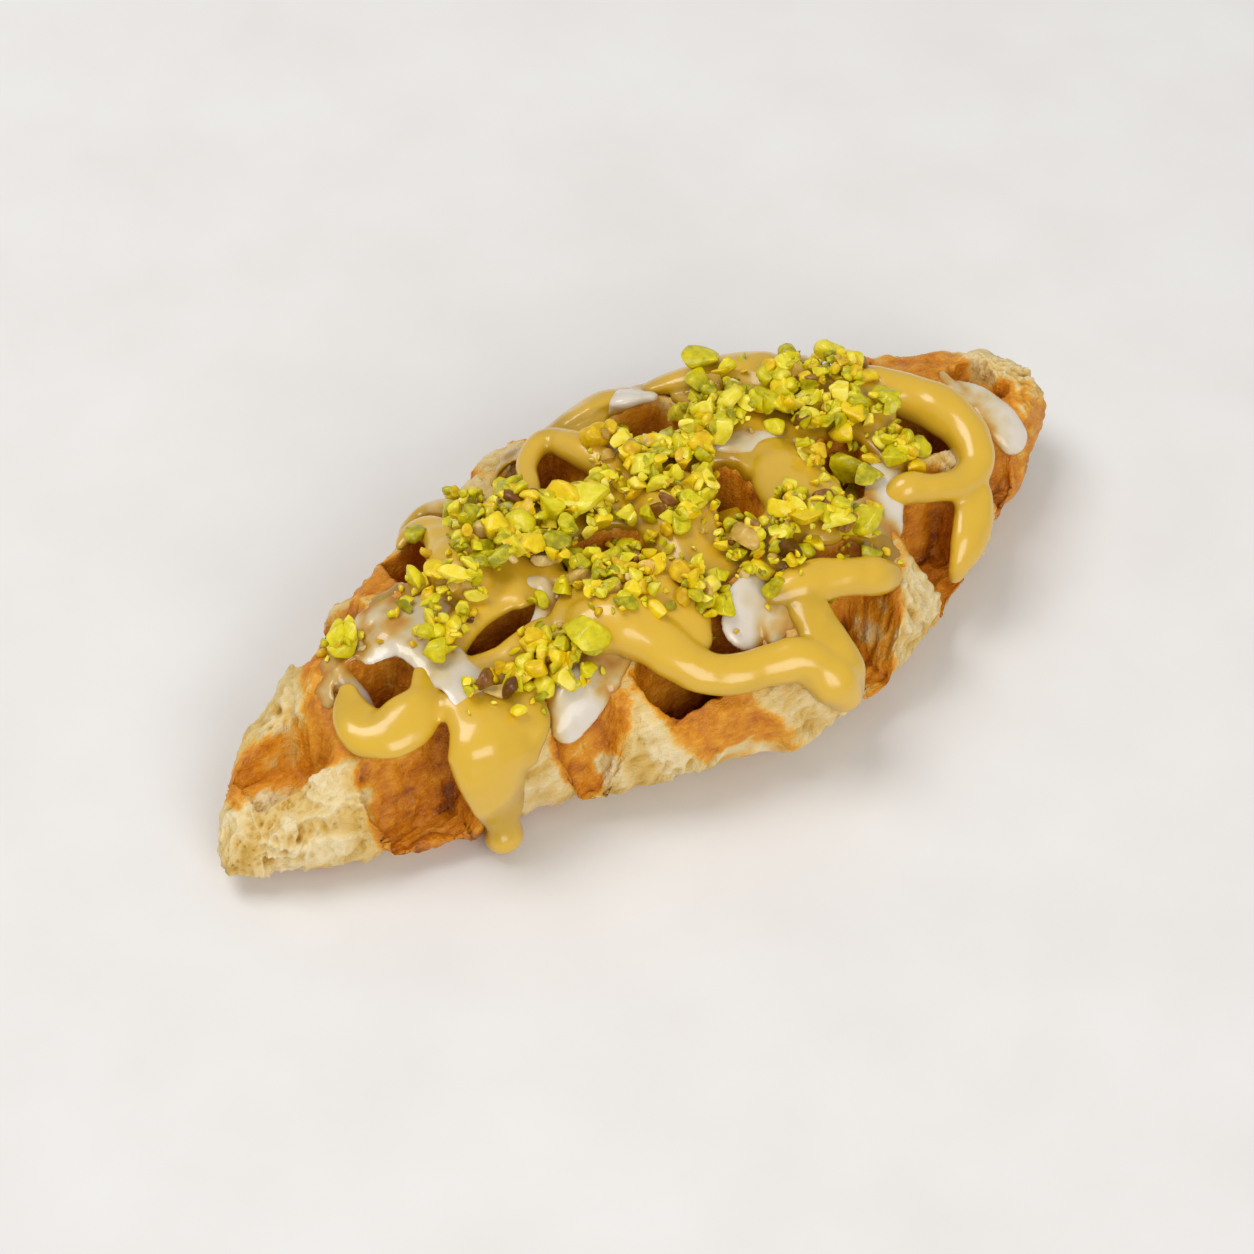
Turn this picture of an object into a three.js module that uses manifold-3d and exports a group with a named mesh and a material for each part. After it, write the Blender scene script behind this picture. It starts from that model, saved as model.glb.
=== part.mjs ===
// A croissant baked and pressed flat in a waffle iron, with thick nut cream, thin white icing and chopped
// nuts on top. Everything is fused into one baked body, as the toppings stick to the dough they lie on.
// Millimetres, +Z up. +X runs along the croissant, +Y to its back; the underside rests on z = 0.
import * as THREE from "three";
import { mergeVertices } from "three/addons/utils/BufferGeometryUtils.js";
import Module from "manifold-3d";

// Centre of the finished outline in plan, taken off every point so that the origin is under the middle.
const CENTRE = [1.25, -2.86];

// Outline of the pressed croissant, one row per station: [x, front y, back y, top z, underside z].
const STATIONS = [
  [-92, -7.5, -4.5, 8.5, 4.5],
  [-88, -9.6, 1.5, 12, 3],
  [-81, -12.5, 9, 15.5, 1.5],
  [-71, -17.5, 15, 20, 0],
  [-60, -21.5, 20, 26, -1.5],
  [-48, -25, 25, 28.5, -1.5],
  [-34, -29, 29.5, 29, -1.5],
  [-20, -35.5, 35, 29.5, -1.5],
  [-6, -38.5, 39.5, 30, -1.5],
  [9, -43, 41, 30, -1.5],
  [25, -40, 40, 30, -1.5],
  [40, -36, 36, 29, -1.5],
  [53, -29, 29, 28, -1.5],
  [65, -23.5, 22.5, 26.5, -1.5],
  [76, -17.5, 16, 24.5, 0],
  [86, -12, 11, 23, 3],
  [92, -7.5, 6.5, 19.5, 6],
  [94.5, -3, 1.5, 15, 10],
];
const WIDEST = 0.46; // share of the height at which a section is widest
const POWER = 2.6; // superellipse power of a section: 2 is an ellipse, more is boxier

// Hollows that the studs of the upper plate pressed: [x, y, half length, half width, floor z].
const TOP_HOLLOWS = [
  [-77, 0.5, 8, 6.5, 10],
  [-57, -2, 6, 6, 14],
  [-33.5, -4.5, 6, 6, 14],
  [-9, -4, 5.8, 5.8, 15],
  [16, -2, 5.8, 5.8, 15],
  [40, -8, 5.8, 5.8, 15],
  [61.5, -4.5, 6.5, 7.5, 14],
  [80, -1, 5, 6, 16],
  [-57, 19, 6, 6, 12],
  [-33, 20.5, 6, 6, 14],
  [-5, 21.5, 6, 6, 14],
  [19, 21, 5.8, 5.8, 15],
  [42, 19, 5.8, 5.8, 14],
  [62, 18, 5, 5, 13],
  [-59.5, -24, 9.5, 10, 5.5],
  [-31.5, -31, 4.5, 5, 7],
  [-7.5, -28.5, 9.5, 4, 9],
  [24.5, -34, 5.4, 9.5, 8],
  [50, -27, 7.3, 9, 8],
  [71, -21, 5.5, 6.5, 11],
  [7, 42, 7, 6, 11],
  [31, 41, 7, 6, 11],
  [-17, 40, 6, 6, 10],
  [-46, 31, 6, 6, 9],
];
// The lower plate has the same studs, shorter, under the middle of the croissant.
const UNDER_HOLLOWS = [
  [-57, -2, 6, 6, 7.5],
  [-33.5, -4.5, 6, 6, 7.5],
  [-9, -4, 6, 6, 7.5],
  [16, -2, 6, 6, 7.5],
  [40, -8, 6, 6, 7.5],
  [61.5, -4.5, 6, 6, 6.5],
  [-33, 20.5, 6, 6, 7],
  [-5, 21.5, 6, 6, 7],
  [19, 21, 6, 6, 7],
  [42, 19, 6, 6, 7],
];
const STUD_CORNER = 3; // corner radius of a stud in plan
const STUD_ROUND = 0.6; // what is left of that radius at the end of a stud
const WALL_SLOPE = 3.2; // rise of a hollow's wall for 1 mm sideways

// Strokes of cream and icing, laid along the points [x, y, half width, z]; `flat` is height over width.
const STROKES = [
  // the loop at the right end and its run down the side
  { flat: 0.95, points: [[56, 8.5, 3.4, 28.5], [63, -0.5, 4.5, 28.5], [66.5, -11, 4.2, 27], [63, -19.5, 3.5, 25],
    [57, -21, 3, 25.5], [47.5, -18.5, 3.2, 28]] },
  { flat: 0.6, points: [[61, -21, 3.4, 24], [59.5, -24, 4.3, 22], [57, -26.5, 4.3, 20], [54, -29, 3.6, 18],
    [51, -30.5, 1.9, 13]] },
  // the short stroke on the front edge, and the sheet that runs from it
  { flat: 0.9, points: [[16, -26.5, 4.4, 29.5], [24.5, -29.5, 4, 28.5], [33, -31.5, 3.2, 26]] },
  { flat: 0.55, points: [[16, -28, 4.6, 28.5], [15, -34, 5.2, 27], [14, -39.5, 5.6, 24], [14.5, -43.5, 3.6, 16.5]] },
  // the long wave along the front edge
  { flat: 0.8, points: [[-21.5, -14.5, 5.4, 30.5], [-14, -21.5, 5.4, 30], [-9, -31.5, 3.9, 26.5],
    [1.5, -35.5, 3.6, 25.5], [10, -40, 4.2, 23.5], [13.5, -44, 3.4, 17]] },
  { flat: 0.5, points: [[-15.5, -9.5, 6, 31], [-11, -15.5, 7.5, 30.5], [-7.5, -25, 4.5, 28.5]] },
  // the wide run at the left, with a drop at its foot
  { flat: 0.5, points: [[-48, -13.5, 4.4, 28], [-48, -22.5, 8.2, 24.5], [-49, -24.5, 7.4, 21.5],
    [-49, -25.5, 5.4, 16], [-47.5, -25, 4, 9.5]] },
  { flat: 0.85, points: [[-47, -24.5, 3.6, 10], [-47.5, -25.5, 2.6, 7], [-48, -26.5, 3.3, 4.2]] },
  // the collar on the rim of the left hollow
  { flat: 0.6, points: [[-59, 4, 1.8, 26.5], [-63, -3.5, 4.4, 25.5], [-60, -11.5, 5.8, 26.5],
    [-52, -9.5, 3.2, 28], [-50, -5.5, 2.2, 28.5]] },
  // arches and rims along the back edge
  { flat: 0.9, points: [[-34, 26, 1.2, 23.5], [-29.5, 25.5, 2.6, 26], [-31, 15, 4.2, 30], [-32, 4.5, 4, 30.5]] },
  { flat: 0.7, points: [[-32.5, 27, 1.2, 23], [-26, 31.5, 2.3, 21.5], [-20.5, 23, 2.6, 28], [-20, 18, 2.4, 29]] },
  { flat: 0.9, points: [[-11, 17, 1.4, 29.5], [-6, 26, 2.4, 28.5], [1.5, 29, 2.9, 28], [4, 19.5, 3.6, 30.5],
    [4.5, 14, 3, 30.5]] },
  { flat: 0.5, points: [[0, 32, 1.8, 26], [11.5, 32.5, 4.2, 26.5], [20, 32, 3.4, 26.5]] },
  { flat: 0.55, points: [[25.5, 30, 2.6, 27], [38, 24.5, 5.8, 28], [47.5, 13, 6, 29], [53.5, 2, 6, 29.5],
    [52, -3, 4.6, 29]] },
  // sheets over the middle
  { flat: 0.45, points: [[31, 1.5, 4, 30.5], [28, -13, 7.4, 31], [27, -18.5, 5, 30]] },
  { flat: 0.45, points: [[7.5, 10, 4, 30.5], [7, -4.5, 6.6, 31.5], [4, -11.5, 4.6, 30.5]] },
  { flat: 0.45, points: [[-27, 14, 4.4, 29.5], [-25.5, 9, 5, 30], [-27, -1.5, 3, 30]] },
  { flat: 0.5, points: [[-26.5, -13, 3, 29.5], [-14.5, -8, 4.2, 30.5]] },
  // white icing
  { flat: 0.75, points: [[74.5, -0.5, 1.6, 25], [76, -9, 3.2, 24.5], [77, -15, 3.4, 21.5]] },
  { flat: 0.6, points: [[46.5, -13, 3, 29], [38.5, -22.5, 3.6, 28], [34, -26, 2.8, 27.5]] },
  { flat: 0.35, points: [[12.5, -24.5, 3.8, 29], [2, -28, 4.2, 28]] },
  { flat: 0.6, points: [[-15, -24, 1.6, 28], [-21.5, -20.5, 3.8, 28.5], [-32, -24.5, 5, 25.5], [-35, -25.5, 3.4, 23.5]] },
  { flat: 0.5, points: [[-54.5, 5, 2.6, 28], [-46.5, 1.5, 4.6, 29.5], [-46, -12, 3.8, 28.5], [-45, -16.5, 2.4, 27]] },
  { flat: 0.45, points: [[-53.5, 9.5, 1.6, 27.5], [-45, 12, 4, 28.5], [-40, 11, 2.8, 28.5]] },
];

// Heaps of chopped nuts: [x, y, spread, pieces].
const HEAPS = [
  [50, 12, 6, 4],
  [49, 1, 6.5, 4],
  [37, 14, 7, 4],
  [19, 15, 7, 4],
  [7, 12, 6, 3],
  [-3, 11, 6, 3],
  [-7, 1, 8, 4],
  [-16, 18, 6, 3],
  [-30, 8, 7, 3],
  [-28, -13, 5, 2],
  [-12, -7, 5, 2],
  [0, -17, 4, 1],
  [11, -13, 6, 2],
  [26, -14, 7, 3],
  [-56, 7, 3, 1],
];

// Interpolates a column of the stations smoothly, with no overshoot between them.
function smoothColumn(rows, column, x) {
  const last = rows.length - 1;
  let i = 0;
  while (i < last - 1 && x > rows[i + 1][0]) i++;
  const slope = (k) => (rows[k + 1][column] - rows[k][column]) / (rows[k + 1][0] - rows[k][0]);
  const tangent = (k) => {
    if (k === 0) return slope(0);
    if (k === last) return slope(last - 1);
    const a = slope(k - 1);
    const b = slope(k);
    return a * b > 0 ? (2 * a * b) / (a + b) : 0;
  };
  const width = rows[i + 1][0] - rows[i][0];
  const t = (x - rows[i][0]) / width;
  return (
    rows[i][column] * (1 + 2 * t) * (1 - t) ** 2 +
    tangent(i) * width * t * (1 - t) ** 2 +
    rows[i + 1][column] * t * t * (3 - 2 * t) +
    tangent(i + 1) * width * t * t * (t - 1)
  );
}

// Hand-made unevenness of the dough, in mm.
const uneven = (x, y, z) =>
  0.45 * Math.sin(0.31 * x + 0.12 * y + 1.3) * Math.sin(0.27 * y - 0.33 * z) +
  0.35 * Math.sin(0.58 * x - 0.44 * y + 0.4 * z + 2) +
  0.25 * Math.sin(0.83 * y + 0.61 * z + 0.5) * Math.sin(0.71 * x + 1.1);

// Middle of the section at x, across and up.
function sectionMiddle(x) {
  const at = THREE.MathUtils.clamp(x, STATIONS[0][0], STATIONS.at(-1)[0]);
  const [front, back, top, under] = [1, 2, 3, 4].map((k) => smoothColumn(STATIONS, k, at));
  return { y: (front + back) / 2, halfY: (back - front) / 2, top, under, z: under + (top - under) * WIDEST };
}

// Points of a unit superellipse, evenly spaced along its upper half and along its lower half.
function unitSection(upper, lower) {
  const fine = 2000;
  const curve = [];
  let length = 0;
  for (let i = 0; i <= fine; i++) {
    const a = (Math.PI * i) / fine;
    const c = Math.sign(Math.cos(a)) * Math.abs(Math.cos(a)) ** (2 / POWER);
    const s = Math.sin(a) ** (2 / POWER);
    if (i) length += Math.hypot(38 * (c - curve[i - 1][0]), 14 * (s - curve[i - 1][1]));
    curve.push([c, s, length]);
  }
  const along = (share) => curve.find((p) => p[2] >= share * length - 1e-9);
  const points = [];
  for (let i = 0; i < upper; i++) {
    const [c, s] = along(i / upper);
    points.push([c, s]);
  }
  for (let i = 0; i < lower; i++) {
    const [c, s] = along(i / lower);
    points.push([-c, -s]);
  }
  return points;
}

// Closed skin over rings of points, with a cap of triangles at each end.
function skin(rings) {
  const around = rings[0].length;
  const middle = (ring) => ring.reduce((m, p) => m.addScaledVector(p, 1 / around), new THREE.Vector3());
  const points = [...rings.flat(), middle(rings[0]), middle(rings.at(-1))];
  const index = [];
  for (let i = 0; i < rings.length - 1; i++) {
    for (let j = 0; j < around; j++) {
      const a = i * around + j;
      const b = i * around + ((j + 1) % around);
      index.push(a, a + around, b, b, a + around, b + around);
    }
  }
  const end = (rings.length - 1) * around;
  for (let j = 0; j < around; j++) {
    const next = (j + 1) % around;
    index.push(points.length - 2, j, next);
    index.push(points.length - 1, end + next, end + j);
  }
  return new THREE.BufferGeometry().setFromPoints(points).setIndex(index);
}

const wasm = await Module();
wasm.setup();

function solidOf(geometry) {
  const bare = geometry.clone();
  bare.deleteAttribute("normal");
  bare.deleteAttribute("uv");
  const merged = mergeVertices(bare, 1e-4);
  const vertProperties = merged.getAttribute("position").array;
  const triVerts = new Uint32Array(merged.index.array);
  const made = new wasm.Manifold(new wasm.Mesh({ numProp: 3, vertProperties, triVerts }));
  if (made.volume() > 0) return made;
  for (let i = 0; i < triVerts.length; i += 3) {
    [triVerts[i + 1], triVerts[i + 2]] = [triVerts[i + 2], triVerts[i + 1]];
  }
  return new wasm.Manifold(new wasm.Mesh({ numProp: 3, vertProperties, triVerts }));
}

// One stud of a plate: a tapered block with rounded corners, from `end` to well outside the dough.
function studSolid([cx, cy, halfX, halfY, end], outside) {
  const ring = (z) => {
    const grow = STUD_ROUND + Math.abs(z - end) / WALL_SLOPE;
    const points = [];
    for (let quarter = 0; quarter < 4; quarter++) {
      for (const turn of [0, 45, 90]) {
        const a = THREE.MathUtils.degToRad(90 * quarter + turn);
        const cornerX = [1, -1, -1, 1][quarter] * (halfX - STUD_CORNER);
        const cornerY = [1, 1, -1, -1][quarter] * (halfY - STUD_CORNER);
        points.push(new THREE.Vector3(cx + cornerX + grow * Math.cos(a), cy + cornerY + grow * Math.sin(a), z));
      }
    }
    return points;
  };
  return solidOf(skin([ring(end), ring(outside)]));
}

// The baked body: sections along x, then pressed by the studs of both plates and by the flat of the lower one.
function bakedBody(stations, upper, lower) {
  const section = unitSection(upper, lower);
  const first = STATIONS[0][0];
  const last = STATIONS.at(-1)[0];
  const bend = 1.35; // spaces the stations closer towards the tips
  const rings = [];
  for (let i = 0; i < stations; i++) {
    const u = Math.sin(((2 * i) / (stations - 1)) * bend - bend) / Math.sin(bend);
    const x = (first + last) / 2 + (u * (last - first)) / 2;
    const mid = sectionMiddle(x);
    rings.push(
      section.map(([c, s]) => {
        const y = mid.y + mid.halfY * c;
        const z = mid.z + (s > 0 ? mid.top - mid.z : mid.z - mid.under) * s;
        const out = uneven(x, y, z);
        return new THREE.Vector3(x, y + out * c, Math.max(z + out * s, 0));
      }),
    );
  }
  let body = solidOf(skin(rings));
  for (const hollow of TOP_HOLLOWS) body = body.subtract(studSolid(hollow, 40));
  for (const hollow of UNDER_HOLLOWS) body = body.subtract(studSolid(hollow, -6));
  return body;
}

// A stroke squeezed from a bag: an oval tube along its points, with round ends.
function strokeSolid({ flat, points }, around) {
  const places = points.map(([x, y, , z]) => new THREE.Vector3(x, y, z));
  const curve = new THREE.CatmullRomCurve3(places, false, "centripetal");
  const sections = 2 * points.length - 1;
  const radiusAt = (t) => {
    const at = t * (points.length - 1);
    const i = Math.min(Math.floor(at), points.length - 2);
    return THREE.MathUtils.lerp(points[i][2], points[i + 1][2], at - i);
  };
  const rings = [];
  const ring = (t, push, share) => {
    const tangent = curve.getTangent(t);
    const radius = radiusAt(t);
    const place = curve.getPoint(t).addScaledVector(tangent, push * radius * 0.8);
    const mid = sectionMiddle(place.x);
    const away = new THREE.Vector3(0, place.y - mid.y, (place.z - mid.z) * 2.5);
    const up = away.addScaledVector(tangent, -away.dot(tangent)).normalize();
    const side = new THREE.Vector3().crossVectors(tangent, up);
    const points = [];
    for (let j = 0; j < around; j++) {
      const a = (2 * Math.PI * j) / around;
      points.push(
        place
          .clone()
          .addScaledVector(side, Math.cos(a) * radius * share)
          .addScaledVector(up, Math.sin(a) * radius * share * flat),
      );
    }
    rings.push(points);
  };
  ring(0, -1, 0.25);
  ring(0, -0.7, 0.75);
  for (let i = 0; i < sections; i++) ring(i / (sections - 1), 0, 1);
  ring(1, 0.7, 0.75);
  ring(1, 1, 0.25);
  return solidOf(skin(rings));
}

// Repeatable chance, the same for every build.
let state = 20711;
function chance() {
  state = (state * 16807) % 2147483647;
  return state / 2147483647;
}

// One chopped piece: a lopsided twenty-sided lump.
function nutSolid(size, x, y, z) {
  const shape = mergeVertices(new THREE.IcosahedronGeometry(1, 0).deleteAttribute("uv").deleteAttribute("normal"));
  const at = shape.getAttribute("position");
  for (let i = 0; i < at.count; i++) {
    const r = 0.75 + 0.4 * chance();
    at.setXYZ(i, at.getX(i) * r, at.getY(i) * r, at.getZ(i) * r);
  }
  shape.scale(size / 2, (size / 2) * (0.6 + 0.35 * chance()), (size / 2) * (0.45 + 0.35 * chance()));
  shape.rotateX(chance() - 0.5);
  shape.rotateY(chance() - 0.5);
  shape.rotateZ(chance() * Math.PI);
  shape.translate(x, y, z);
  return solidOf(shape);
}

// Height of the top of a geometry at (x, y).
function topHeight(mesh, x, y) {
  const ray = new THREE.Raycaster(new THREE.Vector3(x, y, 60), new THREE.Vector3(0, 0, -1));
  const hit = ray.intersectObject(mesh)[0];
  return hit ? hit.point.z : 0;
}

function geometryOf(solid) {
  const { vertProperties, triVerts } = solid.getMesh();
  const geometry = new THREE.BufferGeometry();
  geometry.setAttribute("position", new THREE.BufferAttribute(vertProperties, 3));
  geometry.setIndex(new THREE.BufferAttribute(triVerts, 1));
  return geometry;
}

let croffle = bakedBody(44, 17, 8);
for (const stroke of STROKES) croffle = croffle.add(strokeSolid(stroke, 6));

const underNuts = new THREE.Mesh(geometryOf(croffle), new THREE.MeshBasicMaterial({ side: THREE.DoubleSide }));
for (const [x, y, spread, pieces] of HEAPS) {
  for (let i = 0; i < pieces; i++) {
    const angle = 2 * Math.PI * chance();
    const reach = spread * Math.sqrt(chance());
    const size = 4.5 + 4 * chance() ** 2;
    const atX = x + reach * Math.cos(angle);
    const atY = y + reach * Math.sin(angle);
    const nut = nutSolid(size, atX, atY, topHeight(underNuts, atX, atY) + size * 0.12);
    if (nut.intersect(croffle).volume() > 0.5) croffle = croffle.add(nut);
  }
}

// Hollows sealed under the toppings are filled, and any scrap that touches nothing is dropped.
const bodies = croffle.decompose().sort((a, b) => b.volume() - a.volume());
croffle = bodies[0];

const geometry = geometryOf(croffle);
geometry.translate(-CENTRE[0], -CENTRE[1], 0);
geometry.computeVertexNormals();
const crust = new THREE.MeshStandardMaterial({ color: 0xc98a3c, roughness: 0.7, metalness: 0 });
const mesh = new THREE.Mesh(geometry, crust);
mesh.name = "croffle";

const group = new THREE.Group();
group.add(mesh);
export default group;
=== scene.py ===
"""A croissant pressed in a waffle iron, with nut cream, white icing and chopped nuts.

The lesson builds the looks of one pastry around its measured solid. Its formulas, in words:

- outline: front edge, back edge, top and underside are smooth curves through a few stations along it;
- section: a superellipse, |across|^2.6 + |up|^2.6 = 1, boxier than an ellipse, as squeezed dough is;
- pressing: height = the rounded minimum of the dough's own top and the plate, where the plate is the end
  of a stud plus 3.2 mm of height for each millimetre away from it;
- browning: how near the plate came, turned into a share from 0 (pale) to 1 (brown), plus some for ridges,
  the foot and the places that came out browner, less some for the paler ones;
- poured toppings: tubes along smooth curves and thin sheets, joined and re-skinned by a grid of small
  cubes, then smoothed;
- nuts: balls cut by random planes, dropped one after another on a map of heights that each one raises.
"""

# %% [markdown]
# # The measured solid
# The pastry was first built as a coarse closed solid, for its true size and for collision. We load it,
# note its box, and build a much finer pastry in its place. Everything is in metres, so a number in
# millimetres is multiplied by MM once, where a mesh is made. The solid was moved so that the middle of
# its box lies over the origin; CENTRE is that shift, in mm.

import math

import bmesh
import bpy
import numpy as np
from mathutils import Matrix, Vector
from mathutils.bvhtree import BVHTree


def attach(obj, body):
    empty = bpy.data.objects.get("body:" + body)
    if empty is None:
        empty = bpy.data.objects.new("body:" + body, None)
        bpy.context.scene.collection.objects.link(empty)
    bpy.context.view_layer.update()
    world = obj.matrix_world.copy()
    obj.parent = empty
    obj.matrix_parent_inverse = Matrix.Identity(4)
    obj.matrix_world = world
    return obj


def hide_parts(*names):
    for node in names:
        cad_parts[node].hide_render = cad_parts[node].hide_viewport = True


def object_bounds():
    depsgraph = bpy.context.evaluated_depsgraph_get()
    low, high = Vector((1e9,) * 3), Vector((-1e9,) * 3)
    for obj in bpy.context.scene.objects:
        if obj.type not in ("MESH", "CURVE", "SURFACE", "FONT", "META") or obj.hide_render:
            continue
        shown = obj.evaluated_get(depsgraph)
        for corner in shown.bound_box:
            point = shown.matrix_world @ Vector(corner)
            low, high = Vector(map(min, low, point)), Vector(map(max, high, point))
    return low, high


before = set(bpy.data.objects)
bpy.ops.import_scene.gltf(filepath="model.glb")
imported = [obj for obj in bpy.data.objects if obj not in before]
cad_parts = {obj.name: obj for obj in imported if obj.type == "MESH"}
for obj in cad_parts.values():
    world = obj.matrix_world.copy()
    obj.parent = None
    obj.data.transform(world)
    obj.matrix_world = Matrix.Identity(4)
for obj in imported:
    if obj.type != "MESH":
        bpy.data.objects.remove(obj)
BOX = [list(corner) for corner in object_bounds()]
MM = 0.001
CENTRE = np.array([1.25, -2.86, 0.0])
print("solid, mm:", [[round(v / MM, 1) for v in corner] for corner in BOX])

# %% [markdown]
# # Small helpers
# A mesh could be built face by face, but whole arrays are many times faster. A colour is written as the
# hex value a designer would pick, and turned into linear light in one place.


# %% Meshes, stored numbers and colours
def mesh_object(name, points_mm, faces, smooth=True):
    """An object in the scene from an array of points in mm and an array of triangles or quads."""
    mesh = bpy.data.meshes.new(name)
    faces = np.asarray(faces)
    mesh.vertices.add(len(points_mm))
    mesh.vertices.foreach_set("co", ((points_mm - CENTRE) * MM).astype(np.float32).ravel())
    mesh.loops.add(faces.size)
    mesh.loops.foreach_set("vertex_index", faces.astype(np.int32).ravel())
    mesh.polygons.add(len(faces))
    mesh.polygons.foreach_set("loop_start", np.arange(0, faces.size, faces.shape[1], dtype=np.int32))
    mesh.polygons.foreach_set("use_smooth", np.full(len(faces), smooth))
    mesh.update(calc_edges=True)
    mesh.validate()
    thing = bpy.data.objects.new(name, mesh)
    bpy.context.scene.collection.objects.link(thing)
    return thing


def points_of(thing):
    """The points of an object's mesh, in mm in the pastry's own plan."""
    points = np.empty(len(thing.data.vertices) * 3, np.float32)
    thing.data.vertices.foreach_get("co", points)
    return points.reshape(-1, 3).astype(float) / MM + CENTRE


def set_values(thing, name, values):
    """Stores one number for each point of the mesh, for a material to read by name."""
    layer = thing.data.attributes.new(name, "FLOAT", "POINT")
    layer.data.foreach_set("value", np.asarray(values, np.float32))


def hex_colour(text):
    """A screen colour such as F2C879 as linear red, green, blue and alpha."""
    share = np.array([int(text[i : i + 2], 16) / 255 for i in (0, 2, 4)])
    linear = np.where(share <= 0.04045, share / 12.92, ((share + 0.055) / 1.055) ** 2.4)
    return (*linear, 1.0)


# %% [markdown]
# Nothing baked has a hard corner or a hard border. Three small functions make soft ones: an S-shaped
# step, and a minimum and a maximum whose corner is rounded.


# %% Soft steps and corners
def soft_step(value, low, high):
    """0 below low, 1 above high, and an S curve between."""
    t = np.clip((value - low) / (high - low), 0, 1)
    return t * t * (3 - 2 * t)


def soft_min(a, b, blend):
    """The smaller of two heights, the corner rounded over blend."""
    h = np.clip(0.5 + 0.5 * (b - a) / blend, 0, 1)
    return b * (1 - h) + a * h - blend * h * (1 - h)


def soft_max(a, b, blend):
    """The larger of two heights, the corner rounded over blend."""
    return -soft_min(-a, -b, blend)


# %% [markdown]
# # Noise
# Nothing baked is even. Value noise gives every corner of a lattice a repeatable random number and blends
# between the corners; cell noise gives the distance to the nearest of one random point in each lattice
# box, which is what bubbles and crumbs look like. Both are worked out for all points of the skin at once.


# %% Value noise and cell noise
def lattice_random(i, j, k, seed):
    """A repeatable number from 0 to 1 for each lattice corner: its indices times large odd numbers, mixed."""
    h = (
        i.astype(np.uint32) * np.uint32(374761393)
        + j.astype(np.uint32) * np.uint32(668265263)
        + k.astype(np.uint32) * np.uint32(2246822519)
        + np.uint32(seed * 3266489917 % 2**32)
    )
    h = (h ^ (h >> np.uint32(13))) * np.uint32(1274126177)
    h = (h ^ (h >> np.uint32(16))) * np.uint32(2654435761)
    return ((h ^ (h >> np.uint32(15))) & np.uint32(0xFFFFFF)) / float(0xFFFFFF)


def noise(points, size, seed=1):
    """Value noise from 0 to 1 with lumps of about the given size in mm, one number or one for each axis."""
    q = points / np.asarray(size, float)
    base = np.floor(q).astype(np.int64)
    t = q - base
    t = t * t * t * (t * (6 * t - 15) + 10)
    total = np.zeros(len(points))
    for corner in np.ndindex(2, 2, 2):
        weight = np.prod(np.where(corner, t, 1 - t), axis=1)
        total += weight * lattice_random(*(base + corner).T, seed)
    return total


def cells(points, size, seed=1):
    """Distance to the nearest random point, as a share of the cell size."""
    q = points / np.asarray(size, float)
    base = np.floor(q).astype(np.int64)
    nearest = np.full(len(points), 9.0)
    for step in np.ndindex(3, 3, 3):
        cell = base + np.array(step) - 1
        spot = np.stack([lattice_random(*cell.T, seed + n) for n in range(3)], 1) + cell
        nearest = np.minimum(nearest, ((spot - q) ** 2).sum(1))
    return np.sqrt(nearest)


# %% [markdown]
# # The baked dough
# A croissant is a fat roll with pointed ends. A waffle iron squeezes it flat, so its section is boxier
# than an ellipse. Each row below is one station: x, front edge, back edge, top and underside, in mm.

# %% Outline and section
STATIONS = np.array(
    [
        (-92, -7.5, -4.5, 8.5, 4.5),
        (-88, -9.6, 1.5, 12, 3),
        (-81, -12.5, 9, 15.5, 1.5),
        (-71, -17.5, 15, 20, 0),
        (-60, -21.5, 20, 26, -1.5),
        (-48, -25, 25, 28.5, -1.5),
        (-34, -29, 29.5, 29, -1.5),
        (-20, -35.5, 35, 29.5, -1.5),
        (-6, -38.5, 39.5, 30, -1.5),
        (9, -43, 41, 30, -1.5),
        (25, -40, 40, 30, -1.5),
        (40, -36, 36, 29, -1.5),
        (53, -29, 29, 28, -1.5),
        (65, -23.5, 22.5, 26.5, -1.5),
        (76, -17.5, 16, 24.5, 0),
        (86, -12, 11, 23, 3),
        (92, -7.5, 6.5, 19.5, 6),
        (94.5, -3, 1.5, 15, 10),
    ]
)
WIDEST = 0.46  # height of the widest place, as a share of the section's height
POWER = 2.6  # of the superellipse: 2 is an ellipse, more is boxier
HALF_WIDTH, HALF_HEIGHT = 38, 14  # mm, of a middle section, for spacing its points evenly


def through(xs, ys, x):
    """A smooth curve through the points that never swings past them (a monotone cubic)."""
    gap = np.diff(xs)
    slope = np.diff(ys) / gap
    tangent = np.empty(len(ys))
    tangent[0], tangent[-1] = slope[0], slope[-1]
    a, b = slope[:-1], slope[1:]
    same = a * b > 0
    tangent[1:-1] = np.where(same, 2 * a * b / np.where(same, a + b, 1), 0)
    i = np.clip(np.searchsorted(xs, x) - 1, 0, len(xs) - 2)
    t = (x - xs[i]) / gap[i]
    return (
        ys[i] * (1 + 2 * t) * (1 - t) ** 2
        + tangent[i] * gap[i] * t * (1 - t) ** 2
        + ys[i + 1] * t * t * (3 - 2 * t)
        + tangent[i + 1] * gap[i] * t * t * (t - 1)
    )


def outline(x):
    """Front, back, top, underside and the height of the widest place, for an array of x."""
    x = np.clip(x, STATIONS[0, 0], STATIONS[-1, 0])
    front, back, top, under = (through(STATIONS[:, 0], column, x) for column in STATIONS.T[1:])
    return front, back, top, under, under + (top - under) * WIDEST


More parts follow.
